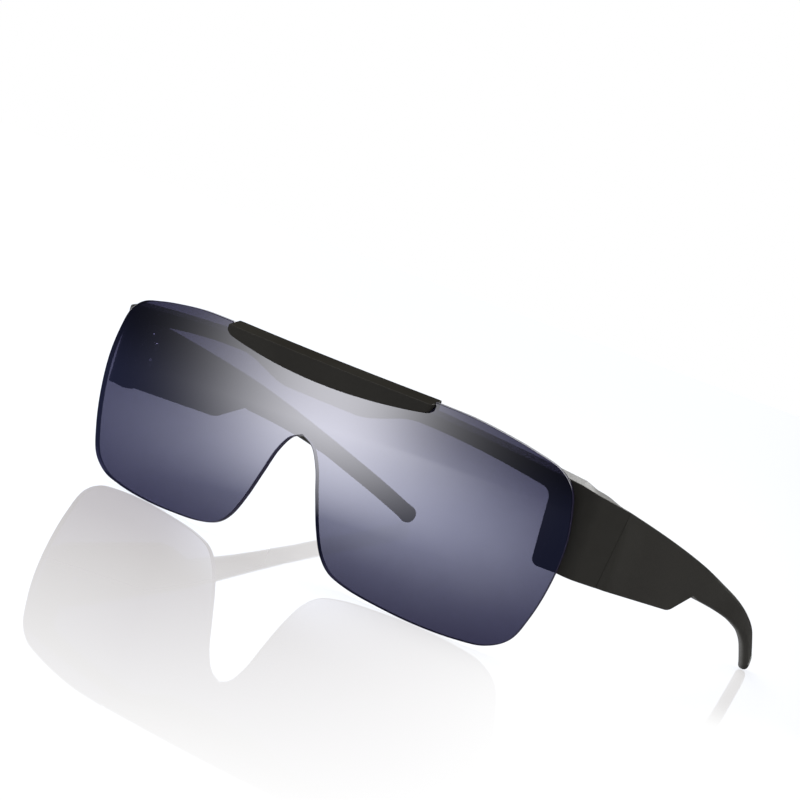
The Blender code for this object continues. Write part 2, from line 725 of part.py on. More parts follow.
def drill(name, radius, start, direction, length, parent):
    """A plain round cutter from start along direction."""
    bm = steps_of_revolution([(radius, 0.0), (radius, length)], 14)
    bm.transform(along(start, direction))
    return put(bm, name, MATERIALS["tool"], parent)


def along(start, direction):
    """Matrix that carries local Z to a direction, with its origin at start."""
    matrix = Vector(direction).to_track_quat("Z", "Y").to_matrix().to_4x4()
    matrix.translation = Vector(start)
    return matrix


def make_screw(name, seat, direction, length, material, parent):
    """A cheese-head screw: its head rests at seat and its shank runs along direction."""
    head = SCREW_HEAD_RADIUS
    profile = [
        (head - 0.25, -SCREW_HEAD_HEIGHT), (head, -SCREW_HEAD_HEIGHT + 0.25), (head, 0.0),
        (SCREW_RADIUS, 0.0), (SCREW_RADIUS, length - 0.3), (SCREW_RADIUS - 0.25, length),
    ]
    frame = along(seat, direction)
    bm = steps_of_revolution(profile, 14)
    bm.transform(frame)
    screw = put(bm, name, material, parent)
    corners = [
        frame @ Vector((x, y, z))
        for z in (-SCREW_HEAD_HEIGHT - 1.0, -SCREW_HEAD_HEIGHT + 0.3)
        for x, y in ((-2.0, -0.16), (2.0, -0.16), (2.0, 0.16), (-2.0, 0.16))
    ]
    boolean(screw, put(block(corners), name + "_slot", MATERIALS["tool"], parent), "DIFFERENCE")
    return screw


# ---------------------------------------------------------------- bar and flip hinge

def bar_end(x):
    """0 along the bar, rising to 1 round its last few millimetres."""
    past = max(abs(x) - BAR_HALF_LENGTH + BAR_END_ROUND, 0.0) / BAR_END_ROUND
    return 1.0 - math.sqrt(max(1.0 - past * past, 0.0))


def bar_low(x):
    arch = (BAR_END_LOW_Z - BAR_MID_LOW_Z) * (x / BAR_HALF_LENGTH) ** 2
    return BAR_MID_LOW_Z + arch + BAR_END_RISE * bar_end(x)


def make_bar(material, parent):
    """A channel over the lens's upper edge: tall in front, with a short lip behind."""
    half = [BAR_HALF_LENGTH - d for d in (0.0, 0.2, 0.6, 1.2, BAR_END_ROUND)]
    stations = [-x for x in half] + [4.0 * i for i in range(-7, 8)] + half[::-1]
    bm = bmesh.new()
    loops = []
    for x in stations:
        back = BAR_BACK - BAR_BACK_TAPER * bar_end(x)
        section = [
            (BAR_FRONT, bar_low(x)), (BAR_FRONT, BAR_FRONT_TOP_Z),
            (back, BAR_BACK_TOP_Z), (back, BAR_LIP_LOW_Z),
            (BAR_SLOT_BACK, BAR_LIP_LOW_Z), (BAR_SLOT_BACK, BAR_SLOT_TOP_Z),
            (BAR_SLOT_FRONT, BAR_SLOT_TOP_Z), (BAR_SLOT_FRONT, bar_low(x)),
        ]
        loops.append([bm.verts.new((x, lens_front_y(x, z) + dy, z)) for dy, z in section])
    for near, far in zip(loops, loops[1:]):
        for i in range(len(near)):
            j = (i + 1) % len(near)
            bm.faces.new((near[i], near[j], far[j], far[i]))
    for ring in (loops[0], loops[-1]):
        bm.faces.new(ring)
    bar = put(bm, "lens_bar", material, parent)
    for side in (-1, 1):
        mouth = (side * BAR_SCREW_X, lens_front_y(BAR_SCREW_X, 0) - 1.1, BAR_SCREW_Z)
        hole = drill("bar_hole", SCREW_RADIUS + SCREW_CLEARANCE, mouth, (0, 1, 0), 3.0, parent)
        boolean(bar, hole, "DIFFERENCE")
    return bar


def across(profile, low, high):
    """A shape drawn in (y, z), extruded along X from low to high."""
    bm = prism(profile, high - low)
    bm.transform(Matrix(((0, 0, 1, low), (1, 0, 0, 0), (0, 1, 0, 0), (0, 0, 0, 1))))
    return bm


def make_flip_knuckle(material, parent):
    """Plate behind the lens with one barrel, flatted where the spring rests at each end of travel."""
    plate = box("flip_knuckle", (-FLIP_PLATE_HALF, FLIP_PLATE_FRONT, FLIP_PLATE_LOW_Z),
                (FLIP_PLATE_HALF, FLIP_PLATE_BACK, FLIP_PLATE_TOP_Z), parent, material)
    flat = math.degrees(math.acos(FLIP_FLAT / FLIP_BARREL_RADIUS))
    barrel = arc((PIVOT_Y, PIVOT_Z), FLIP_BARREL_RADIUS, flat, 90 - flat, 2)
    barrel += arc((PIVOT_Y, PIVOT_Z), FLIP_BARREL_RADIUS, 90 + flat, 205, 5)
    inside = FLIP_PLATE_BACK - 0.4
    barrel += [(inside, FLIP_PLATE_TOP_Z - 0.15), (inside, FLIP_PLATE_LOW_Z + 0.9)]
    barrel += arc((PIVOT_Y, PIVOT_Z), FLIP_BARREL_RADIUS, 275, 360 - flat, 4)
    bore = [(PIVOT_Y + y, PIVOT_Z + z) for y, z in circle(FLIP_BORE, 16)]
    arm = across([barrel, bore], -FLIP_KNUCKLE_HALF, FLIP_KNUCKLE_HALF)
    boolean(plate, put(arm, "flip_arm", material, parent), "UNION")
    for side in (-1, 1):
        hole = drill("knuckle_hole", SCREW_RADIUS + SCREW_CLEARANCE,
                     (side * BAR_SCREW_X, 1.0, BAR_SCREW_Z), (0, 1, 0), 5.0, parent)
        boolean(plate, hole, "DIFFERENCE")
    return plate


def make_flip_base(material, parent):
    """Plate on the back of the bridge, with two ears that hold the pin."""
    plate = box("flip_base", (-BASE_HALF, BASE_FRONT, BASE_LOW_Z), (BASE_HALF, BASE_BACK, BASE_TOP_Z),
                parent, material)
    ear = arc((PIVOT_Y, PIVOT_Z), FLIP_BARREL_RADIUS, 0, 215, 10)
    ear += [(BASE_FRONT + 0.3, BASE_TOP_Z - 1.0), (BASE_BACK - 0.1, BASE_TOP_Z - 1.0)]
    bore = [(PIVOT_Y + y, PIVOT_Z + z) for y, z in circle(FLIP_BORE, 16)]
    for low in (-FLIP_EAR_OUT, FLIP_EAR_IN):
        bm = across([ear, bore], low, low + FLIP_EAR_OUT - FLIP_EAR_IN)
        boolean(plate, put(bm, "flip_ear", material, parent), "UNION")
    hole = SCREW_RADIUS + SCREW_CLEARANCE
    for x, z in ((-BASE_SCREW_X, BASE_SCREW_Z), (BASE_SCREW_X, BASE_SCREW_Z), (0.0, SPRING_SCREW_Z)):
        boolean(plate, drill("plate_hole", hole, (x, 4.0, z), (0, 1, 0), 6.0, parent), "DIFFERENCE")
    return plate


def make_flip_pin(material, parent):
    half = FLIP_EAR_OUT + 0.6
    bm = steps_of_revolution([(FLIP_PIN_RADIUS - 0.15, -half), (FLIP_PIN_RADIUS, -half + 0.3),
                              (FLIP_PIN_RADIUS, half - 0.3), (FLIP_PIN_RADIUS - 0.15, half)], 16)
    bm.transform(along((0, PIVOT_Y, PIVOT_Z), (1, 0, 0)))
    return put(bm, "flip_pin", material, parent)


def make_detent_spring(material, parent):
    """A strip of spring steel up the back of the base, resting on the barrel's flat."""
    front = SPRING_FRONT
    back = SPRING_FRONT + SPRING_THICKNESS
    bend_z = SPRING_TOP_Z - SPRING_KICK
    strip = [
        (front, SPRING_LOW_Z), (back, SPRING_LOW_Z), (back, bend_z),
        (back + SPRING_KICK, SPRING_TOP_Z), (front + SPRING_KICK, SPRING_TOP_Z), (front, bend_z),
    ]
    spring = put(across([strip], -SPRING_HALF, SPRING_HALF), "detent_spring", material, parent)
    mouth = (0, 6.0, SPRING_SCREW_Z)
    hole = drill("spring_hole", SCREW_RADIUS + SCREW_CLEARANCE, mouth, (0, 1, 0), 5.0, parent)
    boolean(spring, hole, "DIFFERENCE")
    return spring


# ---------------------------------------------------------------- pads and inlays

def make_pad(side, name, material, parent):
    """A soft strip on the front's tab, bowed like the lens's edge, that the closed lens rests on."""
    half = PAD_HALF_LENGTH - PAD_HALF_WIDTH
    outline = arc((0, half), PAD_HALF_WIDTH, 0, 180, 6) + arc((0, -half), PAD_HALF_WIDTH, 180, 360, 6)

    def place(u, w, depth):
        bow = 1.4 * (w / PAD_HALF_LENGTH) ** 2
        z = PAD_MID_Z + w
        point, outward = front_path(side * (PAD_X - bow + u))
        room = WRAP_RADIUS - FRONT_RADIUS - LENS_THICKNESS - lens_front_y(0.0, z)
        height = PAD_STAND_OFF if depth else room - PAD_LENS_GAP
        lifted = point + outward * height
        return Vector((lifted.x, lifted.y, z))

    bm = bent_sheet(outline, place, (), (-5.0, -2.5, 0.0, 2.5, 5.0))
    return put(bm, name, material, parent)


def inlay_solid(side, radius, low, high):
    """An oval plug square to the temple's outer face near the tip."""
    run = (INLAY_Y - JOINT_TOP_Y) / math.cos(TEMPLE_TOE_IN)
    for _ in range(6):
        run += INLAY_Y - temple_path(run)[0].y
    point, outward = temple_path(run)
    centre = Vector((side * point.x, point.y, temple_top(INLAY_Y) - INLAY_DROP))
    out = Vector((side * outward.x, outward.y, 0))
    bm = steps_of_revolution([(radius, low), (radius, high)], 18)
    bm.transform(Matrix.Diagonal((1.25, 1.0, 1.0, 1.0)))
    bm.transform(axes((0, 0, 1), out, centre))
    return bm


def make_inlay(side, name, material, parent):
    bm = inlay_solid(side, INLAY_RADIUS, -INLAY_DEPTH + 0.2, 0.05)
    bm.transform(hinge_matrix(side).inverted())
    return put(bm, name, material, parent)


# ---------------------------------------------------------------- assembly

def empty(name, matrix, parent=None):
    """An empty whose matrix is given in millimetres in its parent's axes."""
    thing = bpy.data.objects.new(name, None)
    bpy.context.scene.collection.objects.link(thing)
    thing.parent = parent
    local = matrix.copy()
    local.translation = matrix.translation * MM
    thing.matrix_local = local
    return thing


def clear_scene():
    for thing in list(bpy.data.objects):
        bpy.data.objects.remove(thing, do_unlink=True)


MATERIALS = {}


def build():
    clear_scene()
    MATERIALS["tool"] = make_material("tool", (0.8, 0.2, 0.1), 0.5)
    black = make_material("matte_black", (0.028, 0.027, 0.024), 0.62)
    tint = make_material("tinted_lens", (0.12, 0.11, 0.19), 0.05, alpha=0.55)
    steel = make_material("dark_steel", (0.32, 0.32, 0.33), 0.35, metallic=1.0)
    bright = make_material("bright_steel", (0.62, 0.62, 0.60), 0.3, metallic=1.0)
    rubber = make_material("soft_pad", (0.05, 0.035, 0.045), 0.8)

    lean = Matrix.Translation((0, STANCE_SHIFT_Y, STANCE_SHIFT_Z)) @ Matrix.Rotation(STANCE_LEAN, 4, "X")
    stance = empty("stance", lean)
    pivot = Matrix.Translation((0, PIVOT_Y, PIVOT_Z))
    flip = empty("flip_axis", pivot, stance)
    visor = empty("visor", pivot.inverted(), flip)

    make_front(black, stance)
    make_lens(tint, visor)
    make_bar(black, visor)
    make_flip_knuckle(steel, visor)
    make_flip_base(steel, stance)
    make_flip_pin(bright, stance)
    make_detent_spring(bright, stance)
    for side, tag in ((-1, "left"), (1, "right")):
        seat = (side * BAR_SCREW_X, FLIP_PLATE_BACK + SEAT_GAP, BAR_SCREW_Z)
        reach = FLIP_PLATE_BACK + SEAT_GAP - lens_front_y(BAR_SCREW_X, 0) + 0.7
        make_screw("bar_screw_" + tag, seat, (0, -1, 0), reach, bright, visor)
        seat = (side * BASE_SCREW_X, BASE_BACK + SEAT_GAP, BASE_SCREW_Z)
        make_screw("base_screw_" + tag, seat, (0, -1, 0), 3.2, bright, stance)
        make_pad(side, "bumper_pad_" + tag, rubber, stance)

        hinge = empty("temple_axis_" + tag, hinge_matrix(side), stance)
        make_temple(side, "temple_" + tag, black, hinge)
        make_inlay(side, "tip_inlay_" + tag, bright, hinge)
        fixed = empty("front_hinge_" + tag, hinge_matrix(side), stance)
        make_temple_hinge(side, tag, steel, bright, fixed, hinge)
    seat = (0.0, SPRING_FRONT + SPRING_THICKNESS + SEAT_GAP, SPRING_SCREW_Z)
    make_screw("spring_screw", seat, (0, -1, 0), 4.0, bright, stance)


build()
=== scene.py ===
"""The look of the flip-up fit-over sunglasses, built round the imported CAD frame.

The big mouldings, the lens and the pads are rebuilt here as finer meshes in the same places.
The small steel pieces and the tip inlays are the CAD nodes themselves, with their own finish.
Lengths in the geometry are millimetres in the lens's own axes, and IN_FRAME takes them to the
shared frame in metres.
"""

import math

import bmesh
import bpy
from mathutils import Matrix, Vector


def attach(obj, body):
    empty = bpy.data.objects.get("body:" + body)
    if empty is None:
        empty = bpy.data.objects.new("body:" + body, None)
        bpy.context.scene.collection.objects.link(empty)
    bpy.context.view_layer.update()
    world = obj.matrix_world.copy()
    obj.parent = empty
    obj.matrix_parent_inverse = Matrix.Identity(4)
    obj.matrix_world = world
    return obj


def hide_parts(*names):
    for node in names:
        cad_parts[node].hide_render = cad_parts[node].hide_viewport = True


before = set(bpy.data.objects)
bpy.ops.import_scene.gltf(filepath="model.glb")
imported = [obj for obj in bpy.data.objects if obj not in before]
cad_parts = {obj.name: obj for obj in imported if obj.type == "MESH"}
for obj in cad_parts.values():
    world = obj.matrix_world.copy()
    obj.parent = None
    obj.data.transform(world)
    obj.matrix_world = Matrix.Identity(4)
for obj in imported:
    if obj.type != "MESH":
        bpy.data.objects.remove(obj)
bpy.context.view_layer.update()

MM = 0.001
FRONT, VISOR = "front", "lens_flip_part"
ARM = {1: "temple_right_arm", -1: "temple_left_arm"}
TAG = {1: "right", -1: "left"}

# The CAD's own stance: the lens axes lean back and stand on the lens and the temple tips.
LEAN = math.radians(3.7)
SHIFT_Y = -82.94
SHIFT_Z = 51.12
STANCE = Matrix.Translation((0, SHIFT_Y, SHIFT_Z)) @ Matrix.Rotation(LEAN, 4, "X")
IN_FRAME = Matrix.Scale(MM, 4) @ STANCE

WRAP_RADIUS = 272.0
RISE_RADIUS = 400.0
RISE_CENTRE_Z = -27.0
LENS_THICKNESS = 1.6
LENS_UNDER_BAR_Z = -1.8
LENS_UNDER_BAR_X = 31.4
LENS_EDGE_ROUND = 0.25
LENS_EDGE = (
    (31.5, -0.1), (42.0, -0.4), (50.0, -1.3), (58.5, -2.8), (65.5, -4.8), (69.3, -8.2),
    (71.2, -14.1), (72.1, -21.5), (71.3, -31.0), (69.1, -40.0), (66.1, -46.6),
    (61.0, -49.9), (54.0, -51.1), (43.5, -51.5), (33.0, -51.0), (23.4, -49.9),
    (17.9, -48.2), (14.5, -45.1), (11.5, -39.6), (8.5, -31.7), (6.1, -25.2),
    (3.3, -21.0), (0.0, -19.4),
)

FRONT_RADIUS = 269.0
FRONT_THICKNESS = 3.0
CORNER_RADIUS = 6.0
SIDE_HEADING = math.radians(69.5)
TOP_RIDGE_RISE = 1.1
TOP_RIDGE_END_RISE = 0.1
FRONT_EDGE_ROUND = 0.3
BROW_TOP_Z = -2.6
BROW_TOP_FALL = 4.0
BROW_TOP_FALL_AT = 68.6
BRIDGE_LOW_Z = -10.4
BRIDGE_HALF_WIDTH = 10.5
BROW_LOW_Z = -6.4
BROW_LOW_START = 27.5
BROW_LOW_END = 60.5
BROW_LOW_FALL = 3.3
TAB_INNER_X = 64.0
TAB_LOW_Z = -28.3
POCKET_HALF_WIDTH = 8.9
POCKET_Z = -6.5

JOINT_X = 77.8
JOINT_TOP_Y = 25.2
JOINT_TOP_Z = -10.5
JOINT_LOW_Z = -30.2
JOINT_LEAN = math.radians(9.6)
JOINT_GAP = 0.12

TEMPLE_THICKNESS = 3.0
TEMPLE_TOE_IN = math.radians(1.8)
TEMPLE_BEND_START = 77.0
TEMPLE_BEND_RADIUS = 139.0
TEMPLE_BEND_ANGLE = math.radians(16.0)
TEMPLE_TOP_SLOPE = 0.24
TEMPLE_TOP_DROOP = 2.31e-5
TEMPLE_TOP_DROOP_POWER = 2.7
TEMPLE_END_Y = 160.3
TIP_RADIUS = 2.7
NOTCH_LOW = (65.1, -36.2)
NOTCH_HIGH = (77.8, -32.6)
PADDLE_HEIGHTS = ((77.8, 8.9), (95.0, 7.4), (110.0, 6.2), (122.0, 5.6), (160.3, 5.6))
INNER_BEVEL_WIDTH = 4.2
INNER_BEVEL_DEPTH = 1.6
INNER_BEVEL_END_Y = 100.0
INNER_BEVEL_TAPER = 60.0
TEMPLE_EDGE_ROUND = 0.35
PADDLE_EDGE_ROUND = 1.25

BAR_HALF_LENGTH = 31.6
BAR_FRONT = -1.5
BAR_BACK = 3.0
BAR_FRONT_TOP_Z = -0.9
BAR_BACK_TOP_Z = 0.4
BAR_MID_LOW_Z = -6.0
BAR_END_LOW_Z = -3.1
BAR_SLOT_FRONT = -0.3
BAR_SLOT_BACK = 1.9
BAR_SLOT_TOP_Z = -1.45
BAR_LIP_LOW_Z = -2.0
BAR_END_ROUND = 2.5
BAR_END_RISE = 1.3
BAR_BACK_TAPER = 0.6
BAR_EDGE_ROUND = 0.22

PAD_X = 69.0
PAD_MID_Z = -18.0
PAD_HALF_LENGTH = 8.0
PAD_HALF_WIDTH = 1.8
PAD_STAND_OFF = 0.2
PAD_LENS_GAP = 0.3
PAD_END_BOW = 1.4
PAD_EDGE_ROUND = 0.3

INLAY_PROUD = 0.06
INLAY_RIM = 0.07
WELD_REACH = 1e-6


# ---------------------------------------------------------------- node helpers

class Nodes:
    """Short names for building a node tree."""

    def __init__(self, tree):
        self.tree = tree
        tree.nodes.clear()

    def add(self, kind, **settings):
        node = self.tree.nodes.new(kind)
        for name, value in settings.items():
            setattr(node, name, value)
        return node

    def link(self, source, target):
        self.tree.links.new(source, target)

    def feed(self, socket, value):
        if isinstance(value, bpy.types.NodeSocket):
            self.link(value, socket)
        elif value is not None:
            socket.default_value = value

    def math(self, operation, a, b=None, c=None, clamp=False):
        node = self.add("ShaderNodeMath", operation=operation, use_clamp=clamp)
        for socket, value in zip(node.inputs, (a, b, c)):
            self.feed(socket, value)
        return node.outputs[0]

    def ramp(self, value, low, high, to_low=0.0, to_high=1.0, smooth=True):
        node = self.add("ShaderNodeMapRange", interpolation_type="SMOOTHSTEP" if smooth else "LINEAR")
        for socket, item in zip(node.inputs, (value, low, high, to_low, to_high)):
            self.feed(socket, item)
        return node.outputs[0]

    def mix(self, factor, a, b):
        node = self.add("ShaderNodeMix", data_type="RGBA", clamp_factor=False)
        self.feed(node.inputs[0], factor)
        self.feed(node.inputs[6], a)
        self.feed(node.inputs[7], b)
        return node.outputs[2]

    def mix_shaders(self, factor, a, b):
        node = self.add("ShaderNodeMixShader")
        self.feed(node.inputs[0], factor)
        self.link(a, node.inputs[1])
        self.link(b, node.inputs[2])
        return node.outputs[0]

    def sum_shaders(self, a, b):
        node = self.add("ShaderNodeAddShader")
        self.link(a, node.inputs[0])
        self.link(b, node.inputs[1])
        return node.outputs[0]

    def degrees(self, operation, a, b=None):
        return self.math("MULTIPLY", self.math(operation, a, b), 180 / math.pi)

    def bell(self, value, centre, below, above):
        """1 at the centre, falling off with its own spread on each side."""
        off = self.math("SUBTRACT", value, centre)
        side = self.math("GREATER_THAN", off, 0.0)
        spread = self.math("MULTIPLY_ADD", side, above - below, below)
        off = self.math("DIVIDE", off, spread)
        return self.math("EXPONENT", self.math("MULTIPLY", self.math("MULTIPLY", off, off), -0.5))

    def noise(self, scale, detail=3.0, roughness=0.5, stretch=None):
        place = self.add("ShaderNodeTexCoord").outputs["Object"]
        if stretch:
            mapping = self.add("ShaderNodeMapping")
            self.link(place, mapping.inputs["Vector"])
            mapping.inputs["Scale"].default_value = stretch
            place = mapping.outputs["Vector"]
        node = self.add("ShaderNodeTexNoise")
        self.link(place, node.inputs["Vector"])
        node.inputs["Scale"].default_value = scale
        node.inputs["Detail"].default_value = detail
        node.inputs["Roughness"].default_value = roughness
        return node.outputs["Fac"]

    def bump(self, height, strength, distance):
        node = self.add("ShaderNodeBump")
        node.inputs["Strength"].default_value = strength
        node.inputs["Distance"].default_value = distance
        self.link(height, node.inputs["Height"])
        return node.outputs["Normal"]

    def principled(self, colour, roughness, metallic=0.0, normal=None, **extra):
        node = self.add("ShaderNodeBsdfPrincipled")
        self.feed(node.inputs["Base Color"], colour)
        self.feed(node.inputs["Roughness"], roughness)
        self.feed(node.inputs["Metallic"], metallic)
        if normal:
            self.link(normal, node.inputs["Normal"])
        for name, value in extra.items():
            self.feed(node.inputs[name.replace("_", " ")], value)
        return node.outputs[0]

    def finish(self, shader):
        self.link(shader, self.add("ShaderNodeOutputMaterial").inputs["Surface"])


def material(name):
    made = bpy.data.materials.new(name)
    made.use_nodes = True
    return made, Nodes(made.node_tree)


def soft_black(name, sheen, top_painted_sheen):
    """Fine satin-matte black with a warm cast and a soft grain; faces turned up get a specular level of their
    own, a painted change of sheen on the tops.
    """
    made, n = material(name)
    broad = n.noise(60.0, 4.0)
    fine = n.noise(2600.0, 2.0)
    colour = n.mix(n.ramp(broad, 0.35, 0.7), (0.0205, 0.0190, 0.0160, 1), (0.0250, 0.0235, 0.0200, 1))
    rough = n.math("ADD", n.ramp(broad, 0.3, 0.75, 0.44, 0.50), n.ramp(fine, 0.3, 0.7, -0.02, 0.03))
    normal = n.bump(fine, 0.12, 0.00004)
    way = n.add("ShaderNodeSeparateXYZ")
    n.link(n.add("ShaderNodeTexCoord").outputs["Normal"], way.inputs[0])
    # Painted light on the tops: faces turned up in the object's own axes take their own specular level.
    shine = n.ramp(way.outputs[2], 0.6, 0.9, sheen, top_painted_sheen)
    n.finish(n.principled(colour, rough, normal=normal, Specular_IOR_Level=shine))
    return made


def tinted_lens():
    """Violet-grey tint, clear straight through, with a light mirror coat on the side facing the eye."""
    made, n = material("tinted_lens")
    smear = n.noise(45.0, 3.0, 0.6)
    clear = n.add("ShaderNodeBsdfTransparent")
    tint = n.mix(n.ramp(smear, 0.3, 0.7), (0.175, 0.169, 0.252, 1), (0.183, 0.177, 0.260, 1))
    n.link(tint, clear.inputs["Color"])
    gloss = n.add("ShaderNodeBsdfGlossy")
    gloss.inputs["Color"].default_value = (0.96, 0.965, 1.0, 1)
    n.feed(gloss.inputs["Roughness"], n.ramp(smear, 0.3, 0.75, 0.01, 0.03))
    fresnel = n.add("ShaderNodeFresnel")
    fresnel.inputs["IOR"].default_value = 1.55
    facing = n.math("SUBTRACT", 1.0, n.add("ShaderNodeNewGeometry").outputs["Backfacing"])
    coat = n.math("MULTIPLY", fresnel.outputs[0], 4.2, clamp=True)
    share = n.math("MULTIPLY", coat, facing, clamp=True)
    n.finish(n.mix_shaders(share, clear.outputs[0], gloss.outputs[0]))
    return made


def lens_rim():
    """The cut edge of the lens: the tint seen end on, nearly black violet, polished."""
    made, n = material("lens_rim")
    streak = n.noise(900.0, 2.0)
    colour = n.mix(streak, (0.012, 0.010, 0.026, 1), (0.020, 0.017, 0.040, 1))
    n.finish(n.principled(colour, n.ramp(streak, 0.3, 0.7, 0.12, 0.22), normal=n.bump(streak, 0.05, 0.00003)))
    return made


def soft_pad():
    """Dark plum-grey rubber with a fine pebbled face."""
    made, n = material("soft_pad")
    pebble = n.noise(3200.0, 1.0)
    colour = n.mix(pebble, (0.020, 0.016, 0.020, 1), (0.055, 0.046, 0.055, 1))
    n.finish(n.principled(colour, n.ramp(pebble, 0.3, 0.7, 0.6, 0.8), normal=n.bump(pebble, 0.6, 0.0001)))
    return made


def steel(name, dark, light, rough):
    """Satin steel with a fine brushed grain and a few darker spots."""
    made, n = material(name)
    grain = n.noise(1500.0, 3.0, 0.6, stretch=(1.0, 0.12, 1.0))
    spots = n.noise(240.0, 3.0)
    colour = n.mix(n.ramp(spots, 0.35, 0.65), dark, light)
    roughness = n.ramp(grain, 0.25, 0.75, rough - 0.06, rough + 0.08)
    n.finish(n.principled(colour, roughness, 1.0, n.bump(grain, 0.25, 0.00003)))
    return made


def pale_inlay():
    """Pale warm-grey enamel with a faint cloudy print."""
    made, n = material("pale_inlay")
    cloud = n.noise(900.0, 3.0)
    colour = n.mix(n.ramp(cloud, 0.35, 0.65), (0.21, 0.215, 0.20, 1), (0.30, 0.305, 0.285, 1))
    n.finish(n.principled(colour, n.ramp(cloud, 0.3, 0.7, 0.32, 0.45), normal=n.bump(cloud, 0.1, 0.00003)))
    return made


# Frame: faces turned up a little glossier, a painted sheen on the tops.
BLACK = soft_black("soft_black", 0.22, 0.30)
# Bar: faces turned up with specular level zero, painted shade standing in for a dark reflection on its top.
BAR_BLACK = soft_black("bar_black", 0.16, 0.0)
TINT = tinted_lens()
RIM = lens_rim()
PAD = soft_pad()
PALE = pale_inlay()
DARK_STEEL = steel("dark_steel", (0.10, 0.10, 0.105, 1), (0.17, 0.17, 0.175, 1), 0.34)
BRIGHT_STEEL = steel("bright_steel", (0.48, 0.48, 0.47, 1), (0.62, 0.62, 0.60, 1), 0.26)


# ---------------------------------------------------------------- outlines

def spline(points, steps):
    """Points along a centripetal Catmull-Rom curve through the given points."""
    ends = [2 * Vector(points[0]) - Vector(points[1])]
    ends += [Vector(p) for p in points]
    ends += [2 * Vector(points[-1]) - Vector(points[-2])]
    curve = []
    for a, b, c, d in zip(ends, ends[1:], ends[2:], ends[3:]):
        ta = 0.0
        tb = ta + math.sqrt((b - a).length)
        tc = tb + math.sqrt((c - b).length)
        td = tc + math.sqrt((d - c).length)
        for i in range(steps):
            t = tb + (tc - tb) * i / steps
            ab = a.lerp(b, (t - ta) / (tb - ta))
            bc = b.lerp(c, (t - tb) / (tc - tb))
            cd = c.lerp(d, (t - tc) / (td - tc))
            abc = ab.lerp(bc, (t - ta) / (tc - ta))
            bcd = bc.lerp(cd, (t - tb) / (td - tb))
            curve.append(tuple(abc.lerp(bcd, (t - tb) / (tc - tb))))
    curve.append(tuple(points[-1]))
    return curve


def rounded(corners, steps=8):
    """Open polyline through (x, z, radius) corners, each turned by an arc of its radius."""
    path = []
    last = len(corners) - 1
    for i, (x, z, radius) in enumerate(corners):
        here = Vector((x, z))
        if radius == 0 or i in (0, last):
            path.append((x, z))
            continue
        before = (Vector(corners[i - 1][:2]) - here).normalized()
        after = (Vector(corners[i + 1][:2]) - here).normalized()
        half = before.angle(after) / 2
        reach = radius / math.tan(half)
        centre = here + (before + after).normalized() * radius / math.sin(half)
        start = here + before * reach - centre
        finish = here + after * reach - centre
        for k in range(steps + 1):
            spoke = start.lerp(finish, k / steps).normalized() * radius
            path.append(tuple(centre + spoke))
    return path


def mirrored(half):
    other = [(-x, z) for x, z in reversed(half) if x > 1e-6]
    return half + other


def arc(centre, radius, start, end, steps):
    angles = [math.radians(start + (end - start) * i / steps) for i in range(steps + 1)]
    return [(centre[0] + radius * math.cos(a), centre[1] + radius * math.sin(a)) for a in angles]


def blend(t):
    t = min(max(t, 0.0), 1.0)
    return t * t * (3 - 2 * t)


def between(table, x):
    for (xa, a), (xb, b) in zip(table, table[1:]):
        if x <= xb:
            return a + (b - a) * max(x - xa, 0.0) / (xb - xa)
    return table[-1][1]


def spaced(start, end, step):
    """Evenly spaced numbers from start to end, both included."""
    count = max(1, round(abs(end - start) / step))
    return [start + (end - start) * i / count for i in range(count + 1)]


# ---------------------------------------------------------------- meshes

ROLL_STEPS = 3
SLIVER = 0.04


def corner_outward(before, here, after):
    """Outward direction at a corner of an anticlockwise outline, long enough to offset both sides."""
    a = (here - before).normalized()
    b = (after - here).normalized()
    a, b = Vector((a.y, -a.x)), Vector((b.y, -b.x))
    return (a + b) / max(1.0 + a.dot(b), 0.5)


def outwards(points):
    return [
        corner_outward(points[i - 1], here, points[(i + 1) % len(points)])
        for i, here in enumerate(points)
    ]


def anticlockwise(outline):
    points = [Vector(p) for p in outline]
    area = sum(a.cross(b) for a, b in zip(points, points[1:] + points[:1]))
    return points if area > 0 else points[::-1]


def slice_at(bm, point, normal):
    geometry = bm.verts[:] + bm.edges[:] + bm.faces[:]
    bmesh.ops.bisect_plane(bm, geom=geometry, dist=1e-5, plane_co=point, plane_no=normal)


def flat(outline, edge_round, x_cuts=(), z_cuts=()):
    """The flat middle of a sheet, short of its edge by the edge's rounding."""
    points = anticlockwise(outline)
    bm = bmesh.new()
    bm.verts.layers.float.new("roll")
    verts = []
    for point, out in zip(points, outwards(points)):
        inner = point - out * edge_round(point)
        verts.append(bm.verts.new((inner.x, 0.0, inner.y)))
    bm.faces.new(verts)
    for x in x_cuts:
        slice_at(bm, (x, 0, 0), (1, 0, 0))
    for z in z_cuts:
        slice_at(bm, (0, 0, z), (0, 0, 1))
    bmesh.ops.remove_doubles(bm, verts=bm.verts, dist=SLIVER)
    return bm


def boundary_loop(bm):
    """The outline's vertices in anticlockwise order."""
    edge = next(edge for edge in bm.edges if edge.is_boundary)
    start = vert = edge.verts[0]
    loop = []
    while True:
        loop.append(vert)
        vert = edge.other_vert(vert)
        if vert is start:
            break
        edge = next(e for e in vert.link_edges if e.is_boundary and e is not edge)
    flat_loop = [Vector((v.co.x, v.co.z)) for v in loop]
    area = sum(a.cross(b) for a, b in zip(flat_loop, flat_loop[1:] + flat_loop[:1]))
    return loop if area > 0 else loop[::-1]


